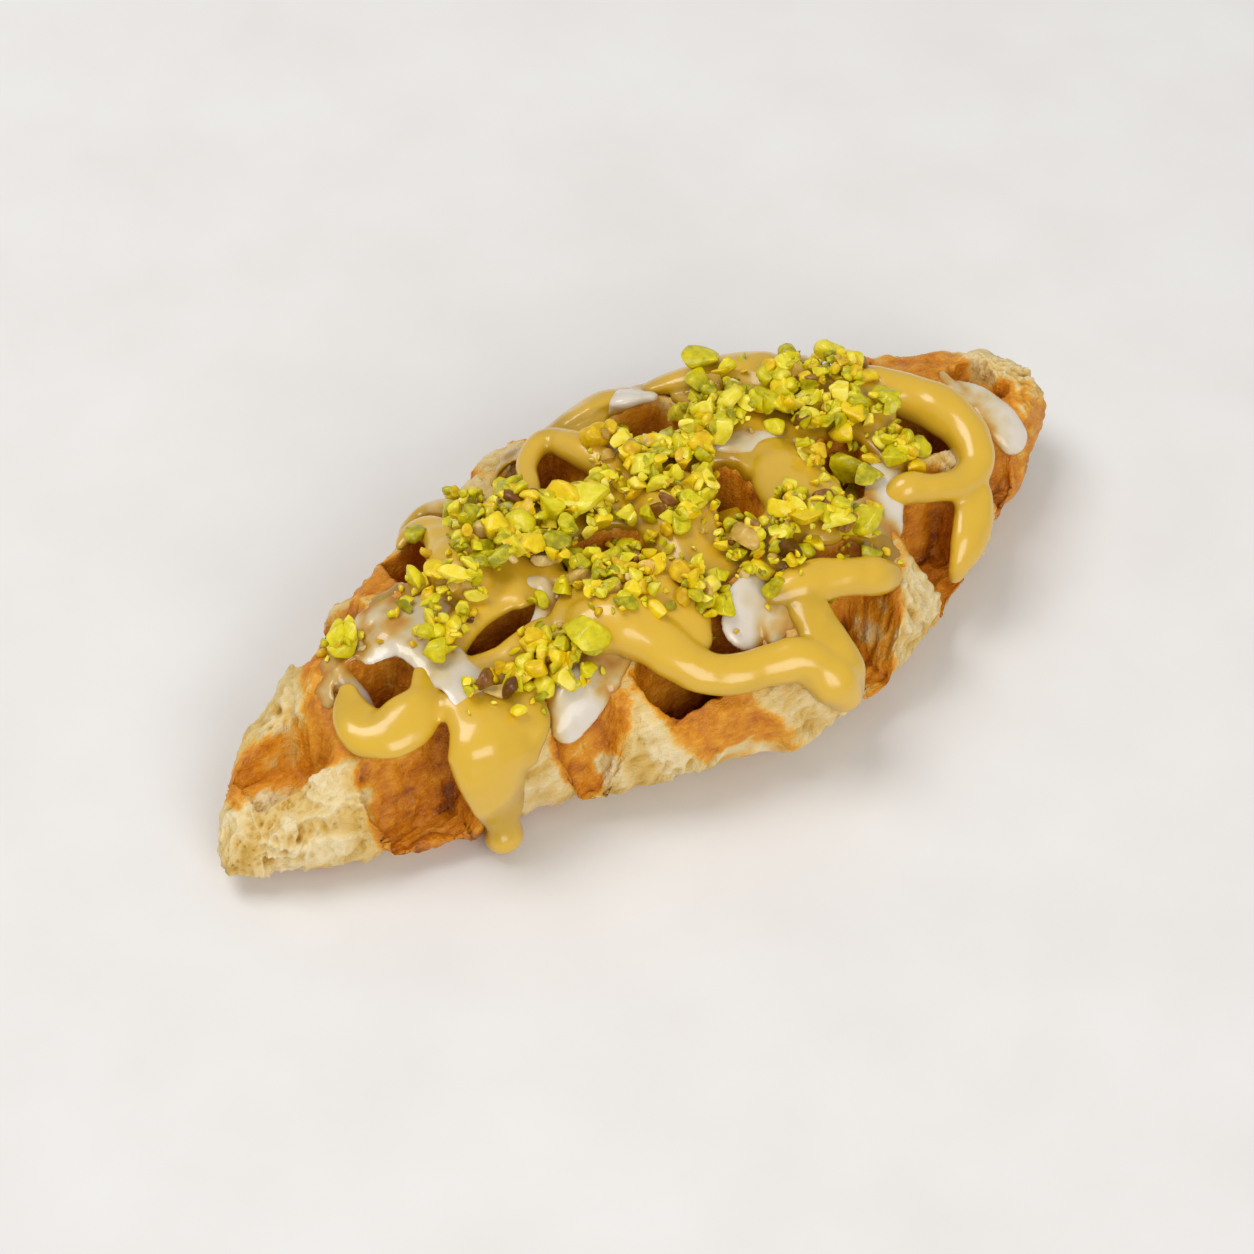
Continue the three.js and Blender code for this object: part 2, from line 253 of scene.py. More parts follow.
def unit_section(upper, lower):
    """A superellipse with evenly spaced points, from the front edge over the top and back underneath."""
    a = np.linspace(0, np.pi, 2001)
    c = np.sign(np.cos(a)) * np.abs(np.cos(a)) ** (2 / POWER)
    s = np.abs(np.sin(a)) ** (2 / POWER)
    steps = np.hypot(HALF_WIDTH * np.diff(c), HALF_HEIGHT * np.diff(s))
    length = np.concatenate([[0], np.cumsum(steps)])
    above = np.linspace(0, length[-1], upper, endpoint=False)
    below = np.linspace(0, length[-1], lower, endpoint=False)
    across = np.concatenate([-np.interp(above, length, c), np.interp(below, length, c)])
    up = np.concatenate([np.interp(above, length, s), -np.interp(below, length, s)])
    return across, up


# %% [markdown]
# # The plates of the iron
# Both plates carry square studs with tapered sides. We could cut square holes into the dough, but an iron
# squeezes: its sides slope and its corners are round. So the upper plate is a height for every place, and
# the dough keeps the lower of the two; the lower plate pushes up in the same way.

# %% The studs
TOP_HOLLOWS = [  # x, y, half length, half width and the height of the stud's end, in mm
    (-77, 0.5, 8, 6.5, 10),
    (-57, -2, 6, 6, 14),
    (-33.5, -4.5, 6, 6, 14),
    (-9, -4, 5.8, 5.8, 15),
    (16, -2, 5.8, 5.8, 15),
    (40, -8, 5.8, 5.8, 15),
    (61.5, -4.5, 6.5, 7.5, 14),
    (80, -1, 5, 6, 16),
    (-57, 19, 6, 6, 12),
    (-33, 20.5, 6, 6, 14),
    (-5, 21.5, 6, 6, 14),
    (19, 21, 5.8, 5.8, 15),
    (42, 19, 5.8, 5.8, 14),
    (62, 18, 5, 5, 13),
    (-59.5, -24, 9.5, 10, 5.5),
    (-31.5, -31, 4.5, 5, 7),
    (-7.5, -28.5, 9.5, 4, 9),
    (24.5, -34, 5.4, 9.5, 8),
    (50, -27, 7.3, 9, 8),
    (71, -21, 5.5, 6.5, 11),
    (7, 42, 7, 6, 11),
    (31, 41, 7, 6, 11),
    (-17, 40, 6, 6, 10),
    (-46, 31, 6, 6, 9),
]
UNDER_HOLLOWS = [
    (-57, -2, 6, 6, 7.5),
    (-33.5, -4.5, 6, 6, 7.5),
    (-9, -4, 6, 6, 7.5),
    (16, -2, 6, 6, 7.5),
    (40, -8, 6, 6, 7.5),
    (61.5, -4.5, 6, 6, 6.5),
    (-33, 20.5, 6, 6, 7),
    (-5, 21.5, 6, 6, 7),
    (19, 21, 6, 6, 7),
    (42, 19, 6, 6, 7),
]
STUD_CORNER = 3.0  # mm, radius of a stud's corners in plan
STUD_ROUND = 0.6  # mm, width of the rounded edge round a stud's end
WALL_SLOPE = 3.2  # mm of height for each mm away from the stud's end
STUD_BLEND = 0.8  # mm, rounding where the sides of two studs meet
TOP_BLEND, UNDER_BLEND = 1.4, 1.2  # mm, rounding of the rims that the plates press
OFF_PLATE = 60.0  # mm, a height above everything: no stud here


def off_stud(x, y, stud):
    """How far (x, y) is outside the rounded end of a stud."""
    dx = np.maximum(np.abs(x - stud[0]) - stud[2] + STUD_CORNER, 0)
    dy = np.maximum(np.abs(y - stud[1]) - stud[3] + STUD_CORNER, 0)
    return np.maximum(np.hypot(dx, dy) - STUD_ROUND, 0)


def plate_above(x, y):
    """Height of the upper plate over (x, y): the lowest of all its studs."""
    z = np.full(np.shape(x), OFF_PLATE)
    for stud in TOP_HOLLOWS:
        z = soft_min(z, stud[4] + WALL_SLOPE * off_stud(x, y, stud), STUD_BLEND)
    return z


def plate_below(x, y):
    """Height of the lower plate under (x, y): the highest of its studs, and 0 beside them."""
    z = np.zeros(np.shape(x))
    for stud in UNDER_HOLLOWS:
        z = np.maximum(z, stud[4] - WALL_SLOPE * off_stud(x, y, stud))
    return z


def uneven(x, y, z):
    """Slow unevenness of hand-rolled dough, in mm: three crossed waves, 6 to 19 mm long."""
    return (
        0.45 * np.sin(0.31 * x + 0.12 * y + 1.3) * np.sin(0.27 * y - 0.33 * z)
        + 0.35 * np.sin(0.58 * x - 0.44 * y + 0.4 * z + 2)
        + 0.25 * np.sin(0.83 * y + 0.61 * z + 0.5) * np.sin(0.71 * x + 1.1)
    )


# %% [markdown]
# # Pressing the dough
# The skin is a grid: columns along the pastry, points round each section, more of them above, where one
# looks. Every array operation below works on the whole grid at once. We keep how deep the plate went,
# because that is what browns the crust.

# %% The skin as a grid
COLUMNS, UPPER, LOWER = 480, 160, 46
CROWDING = 1.35  # radians of a sine: brings the columns closer together near the tips
across, up = unit_section(UPPER, LOWER)
AROUND = len(across)
share = np.sin(np.linspace(-CROWDING, CROWDING, COLUMNS)) / np.sin(CROWDING)
first_x, last_x = STATIONS[[0, -1], 0]
column_x = (first_x + last_x) / 2 + share * (last_x - first_x) / 2
front, back, top, under, widest = (v[:, None] for v in outline(column_x))
gx = np.repeat(column_x[:, None], AROUND, 1)
gy = (front + back) / 2 + (back - front) / 2 * across
gz = widest + np.where(up > 0, top - widest, widest - under) * up
out = uneven(gx, gy, gz)
own_y, own_z = gy + out * across, gz + out * up
plate = plate_above(gx, own_y)
pressed = soft_min(own_z, plate, TOP_BLEND)
lower_plate = plate_below(gx, own_y)
skin_z = soft_max(pressed, lower_plate, UNDER_BLEND)
depth = own_z - plate
skin = np.stack([gx, own_y, skin_z], -1)
print("grid:", COLUMNS, "x", AROUND, "points; deepest press", round(float(depth.max()), 1), "mm")


# %% [markdown]
# # Shut-in places
# The floor of a hollow bakes darkest, because the plate is nearest and no steam escapes; it also lies in
# shade, and the same darkening paints that shade. How shut in a place is: the mean height of a ring of
# dough round it, less its own height, as a share from 0 at 6 mm to 1 at 13 mm. Beyond the edge the height
# is 0, so a hollow that is open at the side counts less.


# %% How shut in
def dough_heights(x, y):
    """Height of the dough's own top over (x, y), and of the pressed top, without the fine relief."""
    front, back, top, _, widest = outline(x)
    off = np.clip(np.abs(y - (front + back) / 2) / ((back - front) / 2), 0, 1)
    own = np.where(off < 1, widest + (top - widest) * (1 - off**POWER) ** (1 / POWER), 0)
    return own, soft_min(own, plate_above(x, y), TOP_BLEND)


RING = 7.5  # mm, a little more than half a hollow
near_heights = []
for a in np.linspace(0, 2 * np.pi, 10, endpoint=False):
    near_x, near_y = skin[..., 0] + RING * np.cos(a), skin[..., 1] + RING * np.sin(a)
    near_heights.append(dough_heights(near_x, near_y)[1])
shut_in_bake_and_shade = soft_step(np.mean(near_heights, axis=0).ravel() - skin[..., 2].ravel(), 6, 13)
shut_in_bake_and_shade *= up.clip(0, 1)[None].repeat(COLUMNS, 0).ravel() > 0
print("shut in:", round(float((shut_in_bake_and_shade > 0.5).mean()), 2), "of the skin")


# %% [markdown]
# # Crust and crumb
# Where the iron touched, the crust is brown, tight and finely wrinkled. Where it didn't, the dough stayed
# pale and torn. No iron heats evenly, so some places came out browner than the plate's nearness tells,
# and some paler. They are listed one by one.

# %% Browner and paler places
BAKED = [  # x, y, z and reach in mm, and how much browner, or paler where it is below 0
    (-62, 9, 24, 8, 0.6),
    (-83, 2, 14, 5, 0.45),
    (-78, 1, 12, 8, 0.7),
    (-69, 2, 20, 7, 0.5),
    (-65, -5, 23, 6, 0.4),
    (-62, -22, 9, 9, 0.45),
    (-65, -18, 16, 5, 0.4),
    (-50, -25, 5, 6, 0.6),
    (-34, -29, 14, 5, 0.45),
    (-23, -26, 26, 5, 0.35),
    (-30, -30, 18, 5, -0.6),
    (-14, -36, 18, 7, 0.8),
    (-7, -37, 19, 7, 0.8),
    (-1, -38, 17, 6, 0.5),
    (2, -40, 10, 6, 0.5),
    (-5, -37.5, 8, 5, 0.45),
    (24, -36, 14, 8, -0.25),
    (44, -35, 12, 4.5, 0.7),
    (47, -24, 24, 6, 0.3),
    (70, -19, 18, 8, 0.3),
    (75, 9, 23, 9, 0.35),
    (81, -4, 24, 6, 0.45),
    (88, -9, 16, 7, 0.5),
    (82, -13, 13, 8, 0.7),
    (76, -17, 10, 7, 0.5),
    (-11, 28, 27, 4, 0.5),
    (-17, 30, 24, 6, -0.6),
    (-5, 33, 24, 6, -0.6),
    (-44, 20, 25, 6, 0.5),
    (-80, -10, 13, 11, -0.7),
    (-73, -11, 16, 7, -0.6),
    (-89, -7, 9, 8, -0.5),
    (-69, 13, 16, 9, -0.6),
    (-23, -34, 12, 8, -1.1),
    (-40, -27, 10, 5, -0.7),
    (10, -43, 15, 6, -0.8),
    (37, -37, 15, 7, -0.9),
    (88, 3, 22, 6, -0.6),
]

# %% [markdown]
# A croissant is rolled from a long triangle of layered dough. The layers end in folds that show as
# creases along the sides, and between them the dough swells a little.

# %% Swellings and creases
SWELLINGS = [  # x, y, z, reach and how far the dough bulges there, in mm
    (-50, -25, 5, 7, 1.8),
    (-60, -21, 5, 6, -1.4),
    (-8, -38, 15, 7, 0.8),
    (3, -41, 9, 6, 1.0),
    (-2, -39, 9, 3.5, -1.0),
    (80, -12, 15, 6, 1.2),
    (88, 6, 17, 6, 0.8),
]
CREASES = [  # places x, y, z along each fold, in mm
    [(-20, -35.5, 8), (-12, -37.5, 10.5), (-5, -38.5, 11.5), (2, -41, 9)],
    [(-88, -7, 4), (-80, -11, 6), (-70, -17, 8), (-64, -20, 12)],
    [(28, -39, 8), (36, -37, 11), (44, -34, 16)],
    [(66, -23, 8), (74, -18, 12), (84, -12.5, 14), (90, -7, 15)],
    [(-80, 9, 9), (-68, 16, 12), (-56, 21, 12), (-44, 26, 16)],
    [(-38, 28, 8), (-24, 33, 12), (-10, 38, 12), (2, 40, 16)],
    [(20, 40, 7), (36, 37, 9), (50, 31, 13), (62, 24, 17)],
    [(64, 22, 6), (76, 15, 9), (88, 8, 13)],
]


def off_line(points, line):
    """Distance in mm from each point to a line through the given places."""
    nearest = np.full(len(points), 99.0)
    for a, b in zip(np.array(line[:-1], float), np.array(line[1:], float)):
        t = np.clip((points - a) @ (b - a) / ((b - a) @ (b - a)), 0, 1)
        nearest = np.minimum(nearest, np.linalg.norm(points - a - t[:, None] * (b - a), axis=1))
    return nearest


def grid_normals(grid):
    """The outward direction at each point: square to the line along the pastry and the line round it."""
    along = np.gradient(grid, axis=0)
    round_it = np.roll(grid, -1, 1) - np.roll(grid, 1, 1)
    normal = np.cross(along, round_it)
    normal /= np.linalg.norm(normal, axis=-1, keepdims=True) + 1e-9
    return normal


# %% [markdown]
# # Where it browned
# A real crust browns for several reasons. Each one is a share from 0 to 1 for every point of the skin,
# and the largest counts, since a place that is brown for one reason gets hardly browner for a second. The
# listed places come last, and none of them goes past BROWNEST, or they would show as dark blotches.

# %% Browning
BROWNEST = 0.72  # share of the darkest brown
normal = grid_normals(skin)
flat_points = skin.reshape(-1, 3)
lumps, patch = noise(flat_points, 9, 3), noise(flat_points, 4, 5)
# the plate came within 7 mm, or went up to 3 mm deep, with an uneven border
touched = soft_step(depth.ravel() + 8 * (lumps - 0.5) + 5 * (patch - 0.5), -7, 3)
# the tops of the ridges, in patches
facing_up = np.clip(normal[..., 2].ravel(), 0, 1)
ridge = 0.55 * soft_step(facing_up, 0.55, 0.95) * soft_step(lumps + 0.4 * patch, 0.45, 0.85)
# the foot, the lowest 5 mm, that lay on the lower plate
foot = 0.7 * soft_step(5 + 6 * (lumps - 0.5) - flat_points[:, 2], 0, 5)
# the back, browner than the front, in streaks that run along the roll
behind = soft_step(flat_points[:, 1], -5, 20)
toasted = 0.16 + 0.4 * soft_step(noise(flat_points, (16, 9, 9), 91), 0.45, 0.8)
toasted = behind * toasted * (0.5 + patch)
# the floors that the studs of the lower plate pressed
printed = 0.85 * soft_step(lower_plate.ravel(), 0.2, 2.5) * (flat_points[:, 2] < 9)
brown = np.maximum.reduce([touched * (0.57 + 0.36 * patch), ridge, foot, toasted, printed])
for x, y, z, reach, amount in BAKED:
    away = np.linalg.norm(flat_points - (x, y, z), axis=1) / reach + 0.7 * (patch - 0.5)
    more = amount * (1 - soft_step(away, 0.45, 1.25))
    browner = np.maximum(brown, np.minimum(brown + more, BROWNEST))
    brown = browner if amount > 0 else brown + more
brown = np.clip(brown, 0, 1)
print("brown share of the skin:", round(float(brown.mean()), 2))

# %% [markdown]
# # Crust and crumb
# The crust is tight, with fine wrinkles that run along the roll and flat blisters. The torn crumb has
# bubbles, pin holes, folds between its layers and short fibres. A bump in a material would do from afar,
# but from near its outline stays smooth, so all of this is real relief, moved along the skin's own
# outward direction. The points are swirled by slow noise first, so that nothing runs in a straight line.

# %% Relief
swirled = flat_points + 4 * (np.stack([noise(flat_points, 7, 17 + n) for n in range(3)], 1) - 0.5)
# crust, in mm: strands along the roll, fine grain, slow waves and blisters
strands = noise(swirled, (6, 1.2, 1.4), 7)
fine = noise(swirled, 1.1, 9)
wrinkle = (1 - np.abs(2 * strands - 1)) ** 2 * 0.55 + 0.3 * fine + 0.7 * (noise(flat_points, 2.6, 11) - 0.5)
wrinkle += 0.5 * soft_step(0.5 - cells(swirled, (4.5, 4, 4.5), 81), 0, 0.4)

# crumb, in mm: lumps less bubbles and pin holes, folds, and fibres where it is torn; weaker at the back
torn = soft_step(noise(flat_points, 6, 15), 0.35, 0.7)
bubbles = soft_step(0.4 - cells(swirled, (2.6, 2.4, 3.4), 21), 0, 0.3)
pin_holes = soft_step(0.38 - cells(swirled, 1.3, 31), 0, 0.2)
folds = 1 - np.abs(2 * noise(swirled, (7, 2.8, 2.6), 13) - 1)
fibres = 1 - np.abs(2 * noise(swirled, (1.2, 1.4, 4.5), 23) - 1)
crumb = 0.8 * (lumps - 0.45) - 1.1 * bubbles * torn - 0.3 * pin_holes
crumb += 0.7 * (folds**2 - 0.5) + (0.35 + 0.8 * torn) * (fibres - 0.6)
crumb *= 1 - 0.35 * behind
texture = brown * (wrinkle - 0.3) + (1 - brown) * crumb
print("relief:", round(float(texture.min()), 1), "to", round(float(texture.max()), 1), "mm")

# %% [markdown]
# A crease is a groove 1.6 mm deep and 0.9 mm to each side, between low shoulders of 0.5 mm. The part that the
# pastry rests on stays flat.

# %% Move the skin
relief = texture.copy()
for line in CREASES:
    off = off_line(swirled, line)
    relief += 0.5 * np.exp(-((off / 2.6) ** 2)) - 1.6 * np.exp(-((off / 0.9) ** 2))
for x, y, z, reach, amount in SWELLINGS:
    away = np.linalg.norm(flat_points - (x, y, z), axis=1) / reach
    relief += amount * (1 - soft_step(away, 0, 1))
off_the_ground = soft_step(flat_points[:, 2], 0.05, 4)
skin += normal * (relief * off_the_ground).reshape(COLUMNS, AROUND, 1)
print("skin moved by up to", round(float(np.abs(relief).max()), 1), "mm")

# %% [markdown]
# # Closing the skin
# The grid wraps round each section, and a fan of triangles closes each tip. Three numbers go along with
# every point for the material to read: how brown it is, how far it is raised, and how shut in it lies. The
# material darkens low and shut-in places with them, partly as painted shade.


# %% The dough piece
def wrapped_quads(rows, around):
    """Quads of a grid whose last point in each row joins the first."""
    i = np.arange(rows - 1)[:, None] * around
    j = np.arange(around)[None]
    k = (j + 1) % around
    return np.stack([i + j, i + around + j, i + around + k, i + k], -1).reshape(-1, 4)


def closed_tube(grid):
    """Points and triangles of a wrapped grid with a fan at each end."""
    rows, around = grid.shape[:2]
    points = np.concatenate([grid.reshape(-1, 3), grid[:1].mean(1), grid[-1:].mean(1)])
    quads = wrapped_quads(rows, around)
    j = np.arange(around)
    k = (j + 1) % around
    end = (rows - 1) * around
    first = np.stack([np.full(around, len(points) - 2), j, k], 1)
    last = np.stack([np.full(around, len(points) - 1), end + k, end + j], 1)
    return points, np.concatenate([quads[:, :3], quads[:, [0, 2, 3]], first, last])


points, triangles = closed_tube(skin)
dough = mesh_object("dough", points, triangles)
ends = [brown.reshape(COLUMNS, AROUND)[i].mean() for i in (0, -1)]
set_values(dough, "brown", np.concatenate([brown, ends]))
raised = np.clip(0.5 + texture / 1.9, 0, 1)
set_values(dough, "raised", np.concatenate([raised, [0.5, 0.5]]))
set_values(dough, "shut_in_bake_and_shade", np.concatenate([shut_in_bake_and_shade, [0, 0]]))
print("dough:", len(triangles), "triangles")

# %% [markdown]
# # Strokes of cream and icing
# Thick cream is squeezed from a bag: a tube that is wider than high, sagging between the ridges. Each row is
# the tube's height over its width, and then its places: x, y, half width and height above the ground, in mm.

# %% The strokes of cream
CREAM = [
    # the loop at the right end and its run down the side
    (0.95, [(56, 8.5, 3.4, 28.5), (59, 4.5, 4, 29), (63, -0.5, 4.5, 28.5), (65.5, -5.5, 4.5, 28),
            (66.5, -11, 4.2, 27), (65.5, -16, 3.9, 26), (63, -19.5, 3.5, 25), (57, -21, 3, 25.5),
            (51.5, -20, 2.8, 27), (47.5, -18.5, 2.8, 28), (44, -17.5, 2, 27)]),
    (0.6, [(61, -21, 3.4, 24), (59.5, -24, 4.3, 22), (57, -26.5, 4.3, 20), (54, -29, 3.6, 18),
           (51.5, -30.5, 2.6, 15.5), (51, -30.5, 1.9, 13)]),
    # the short stroke on the front edge, and the sheet that runs from it
    (0.8, [(10, -25.5, 2.4, 29), (15, -26.5, 3.8, 29.5), (20, -27.5, 4, 29), (24.5, -29.5, 3.9, 28.5),
           (29, -31, 3.7, 27), (33, -31.5, 2.6, 25.5)]),
    (0.55, [(14.5, -27.5, 3.4, 28.5), (14, -33, 4, 27), (13.5, -38.5, 4.8, 24.5), (14, -42, 4.8, 20.5),
            (14.5, -43.5, 3.6, 16.5)]),
    # the long wave along the front edge
    (0.8, [(-21.5, -14.5, 5.4, 30.5), (-17, -16.5, 6, 31), (-14, -21.5, 5.4, 30), (-12, -26.5, 4.6, 28.5),
           (-9, -31.5, 3.9, 26.5), (-4.5, -34, 3.7, 25.5), (1.5, -35.5, 3.6, 25.5), (6.5, -37.5, 3.8, 25.5),
           (10, -40, 4.2, 23.5), (12, -43, 4.4, 20.5), (13.5, -44, 3.4, 17)]),
    (0.5, [(-15.5, -9.5, 6, 31), (-11, -15.5, 7.5, 30.5), (-7, -20.5, 6, 30), (-7.5, -25, 4.5, 28.5)]),
    # the wide run at the left, with a drop at its foot
    (0.5, [(-48, -13.5, 4.4, 28), (-47.5, -18.5, 6.6, 27), (-48, -22.5, 8.2, 24.5), (-49, -24.5, 7.4, 21.5),
           (-49, -25.5, 6, 17), (-47.5, -25, 4.6, 9.5)]),
    (0.85, [(-47, -24.5, 4.2, 10), (-47.5, -25.5, 3.4, 7), (-48, -26.5, 3.9, 4.4)]),
    (0.5, [(-37, -18, 2.6, 27.5), (-40, -21.5, 4.6, 26.5), (-44.5, -24, 5, 23.5)]),
    # the collar on the rim of the left hollow
    (0.5, [(-61.5, 1, 2, 26.2), (-63.5, -3, 3.6, 25.8), (-63.6, -7.6, 4.8, 25.4),
           (-61, -10.6, 5.2, 26), (-56.5, -11.2, 5, 27), (-52, -9, 3.4, 28), (-50, -5, 2.2, 28.6)]),
    # arches and rims along the back edge
    (0.9, [(-34, 26, 1.2, 23.5), (-31.5, 27.5, 1.8, 23.5), (-29.5, 25.5, 2.6, 26), (-29, 21, 3.2, 28),
           (-31, 15, 4.2, 30), (-33, 9, 5, 31), (-32, 4.5, 4, 30.5)]),
    (0.7, [(-32.5, 27, 1.2, 23), (-28, 31.5, 2, 21), (-24, 32, 2.4, 21.5), (-22.5, 27.5, 2.4, 25.5),
           (-20.5, 23, 2.6, 28), (-20, 18, 2.4, 29)]),
    (0.9, [(-11, 17, 1.4, 29.5), (-9, 21, 2, 29.5), (-6, 26, 2.4, 28.5), (-2, 29, 2.7, 28),
           (1.5, 29, 2.9, 28), (3, 25, 3.2, 29), (4, 19.5, 3.6, 30.5), (4.5, 14, 3, 30.5)]),
    (0.5, [(0, 32, 1.8, 26), (5.5, 32.5, 3, 26), (11.5, 32.5, 4.2, 26.5), (16, 32.5, 4.6, 26.5),
           (20, 32, 3.4, 26.5)]),
    (0.55, [(25.5, 30, 2.6, 27), (32, 27, 4.2, 28), (38, 24.5, 5.8, 28), (43, 19.5, 6.6, 29),
            (47.5, 13, 6, 29), (52, 8, 6.4, 29.5), (53.5, 2, 6, 29.5), (52, -3, 4.6, 29)]),
    # sheets over the middle
    (0.45, [(31, 1.5, 4, 30.5), (29.5, -5.5, 7, 31), (28, -13, 7.4, 31), (27, -18.5, 5, 30)]),
    (0.45, [(7.5, 10, 4, 30.5), (8.5, 3, 6.8, 31), (7, -4.5, 6.6, 31.5), (4, -11.5, 4.6, 30.5)]),
    (0.45, [(-27, 14, 4.4, 29.5), (-25.5, 9, 5, 30), (-27, -1.5, 3, 30)]),
    (0.5, [(-26.5, -13, 3, 29.5), (-21, -9.5, 4, 30), (-14.5, -8, 4.2, 30.5)]),
    (0.55, [(-43, -3, 2.6, 28.4), (-38.5, -0.5, 3, 29.2), (-33, 0.5, 3.2, 29.5), (-27, -0.5, 2.6, 30)]),
    (0.5, [(-42, -9, 2.4, 28.4), (-37, -10.5, 2.8, 28.6), (-31.5, -10, 2.8, 29), (-27, -9, 2.4, 29.5)]),
]

# %% [markdown]
# The icing is thinner than the cream and lies flatter. It went on in the same way, across the cream.

# %% The strokes of icing
ICING = [
    (0.4, [(74.5, -0.5, 1.6, 24.4), (75.5, -4.5, 2.8, 24.7), (76, -9, 3.6, 23.8), (76.5, -12.5, 4, 22.6),
           (77, -15, 3.6, 20.8)]),
    (0.3, [(46.5, -13, 3.4, 28), (42.5, -17.5, 4, 27.5), (38.5, -22.5, 4, 27), (34, -26, 3, 26.5)]),
    (0.2, [(12.5, -24.5, 4.2, 28.5), (6.5, -26, 6, 28.5), (2, -28, 4.6, 27.5)]),
    (0.3, [(-15, -24, 1.8, 27.3), (-17, -21, 2.4, 27.8), (-21.5, -20.5, 3.2, 28), (-26, -22, 4, 27),
           (-31, -24, 4.2, 24.9), (-34.5, -25.5, 3, 22.6)]),
    (0.25, [(-54.5, 5, 3, 27.2), (-49.5, 5, 5, 28.2), (-46.5, 1.5, 5, 28.7), (-46.5, -6, 4.4, 28.9),
            (-46.5, -11, 4, 29.6), (-47.5, -15.5, 3.2, 29.2), (-48, -18.5, 2.2, 28.2)]),
    (0.22, [(-53.5, 9.5, 2, 26.7), (-49.5, 11.5, 3.6, 27.3), (-45, 12, 4.4, 27.7), (-40, 11, 3, 27.7)]),
    (0.5, [(-60, 5.5, 1.8, 26), (-59.5, 2.5, 2.6, 22.5), (-58.5, -0.5, 2.8, 18), (-56, -2.5, 2.6, 15)]),
    (0.6, [(-29.5, 1.5, 1.4, 29.5), (-25.5, 1, 1.8, 30), (-22, -1.5, 2, 30), (-25, -5.5, 1.6, 29.5),
           (-29.5, -9.5, 1.6, 29.5)]),
    (0.4, [(16, 32.5, 3.2, 26), (19, 30.5, 5, 27.5), (23, 28.5, 3.2, 27.5)]),
    (0.3, [(20.5, 9, 1.8, 30), (26, 7, 2.6, 30.6), (32, 4.5, 2.8, 30.8), (37, 1.5, 2, 30.2)]),
]


# %% [markdown]
# The hand moves in curves, so each tube follows a smooth curve through its places. A chain of straight
# pieces would show its corners, and a curve through control points would miss the places.


# %% A smooth path
def between(a, b, at_a, at_b, t):
    """From place a, reached at at_a, to place b, reached at at_b, for each t."""
    return a * ((at_b - t) / (at_b - at_a))[:, None] + b * ((t - at_a) / (at_b - at_a))[:, None]


def smooth_path(places, spacing):
    """A Catmull-Rom curve through the places (columns x, y, half width, z), sampled evenly.

    The knots are spaced by the square root of the distance, which keeps the curve free of loops.
    """
    places = np.asarray(places, float)
    padded = np.concatenate([2 * places[:1] - places[1:2], places, 2 * places[-1:] - places[-2:-1]])
    chords = np.linalg.norm(np.diff(padded[:, [0, 1, 3]], axis=0), axis=1)
    knots = np.concatenate([[0], np.cumsum(chords**0.5)])
    t = np.linspace(knots[1], knots[-2], max(6, int(chords[1:-1].sum() / spacing) + 1))
    i = np.clip(np.searchsorted(knots, t, "right") - 1, 1, len(places) - 1)
    p = [padded[i + n] for n in (-1, 0, 1, 2)]
    k = [knots[i + n] for n in (-1, 0, 1, 2)]
    a = [between(p[n], p[n + 1], k[n], k[n + 1], t) for n in range(3)]
    b = [between(a[n], a[n + 1], k[n], k[n + 2], t) for n in range(2)]
    return between(b[0], b[1], k[1], k[2], t)


# %% [markdown]
# Round the path go ovals that stand square to it, with their short axis pointing away from the middle of
# the dough, so that a stroke on the side lies flat against the side. Four ever smaller ovals round off
# each end.

# %% A tube of cream
END_SIZE = np.array([0.05, 0.45, 0.75, 0.93])  # of the four ovals at an end, in tube radii
END_PUSH = np.array([1.0, 0.9, 0.66, 0.36]) * 0.8  # how far past the end they lie, in tube radii
SECTION_RATIO = 2.5  # a section of dough is about that many times as wide as high
THINNEST_TUBE = 0.4  # mm, half width


def round_end(centre, tangent, radius, way):
    """Centres, tangents and radii of the four ovals past one end; way is -1 at the start, 1 at the finish."""
    centres = centre + way * END_PUSH[:, None] * radius * tangent
    return centres, np.repeat(tangent[None], len(END_SIZE), 0), END_SIZE * radius


def stroke(flat, places, spacing=0.9, around=28):
    """A closed oval tube with round ends along the places."""
    path = smooth_path(places, spacing)
    centre, radius = path[:, [0, 1, 3]], np.maximum(path[:, 2], THINNEST_TUBE)
    tangent = np.gradient(centre, axis=0)
    tangent /= np.linalg.norm(tangent, axis=1, keepdims=True)
    start = round_end(centre[0], tangent[0], radius[0], -1)
    finish = round_end(centre[-1], tangent[-1], radius[-1], 1)
    centre = np.concatenate([start[0], centre, finish[0][::-1]])
    tangent = np.concatenate([start[1], tangent, finish[1]])
    radius = np.concatenate([start[2], radius, finish[2][::-1]])
    front, back, _, _, widest = outline(centre[:, 0])
    sideways, upwards = centre[:, 1] - (front + back) / 2, (centre[:, 2] - widest) * SECTION_RATIO
    away = np.stack([0 * front, sideways, upwards], 1)
    above = away - (away * tangent).sum(1, keepdims=True) * tangent
    above /= np.linalg.norm(above, axis=1, keepdims=True)
    side = np.cross(tangent, above)
    a = np.linspace(0, 2 * np.pi, around, endpoint=False)
    ring = np.cos(a)[None, :, None] * side[:, None] + flat * np.sin(a)[None, :, None] * above[:, None]
    return closed_tube(centre[:, None] + radius[:, None, None] * ring)


# %% [markdown]
# # The film of cream
# Between the strokes the cream has spread into a thin film over the ridges. It could be painted on as a
# colour, but real cream has an edge that catches the light. So its top is the dough's height plus a
# thickness that fades to nothing at a wandering edge, and a matching floor just inside the dough closes
# it.

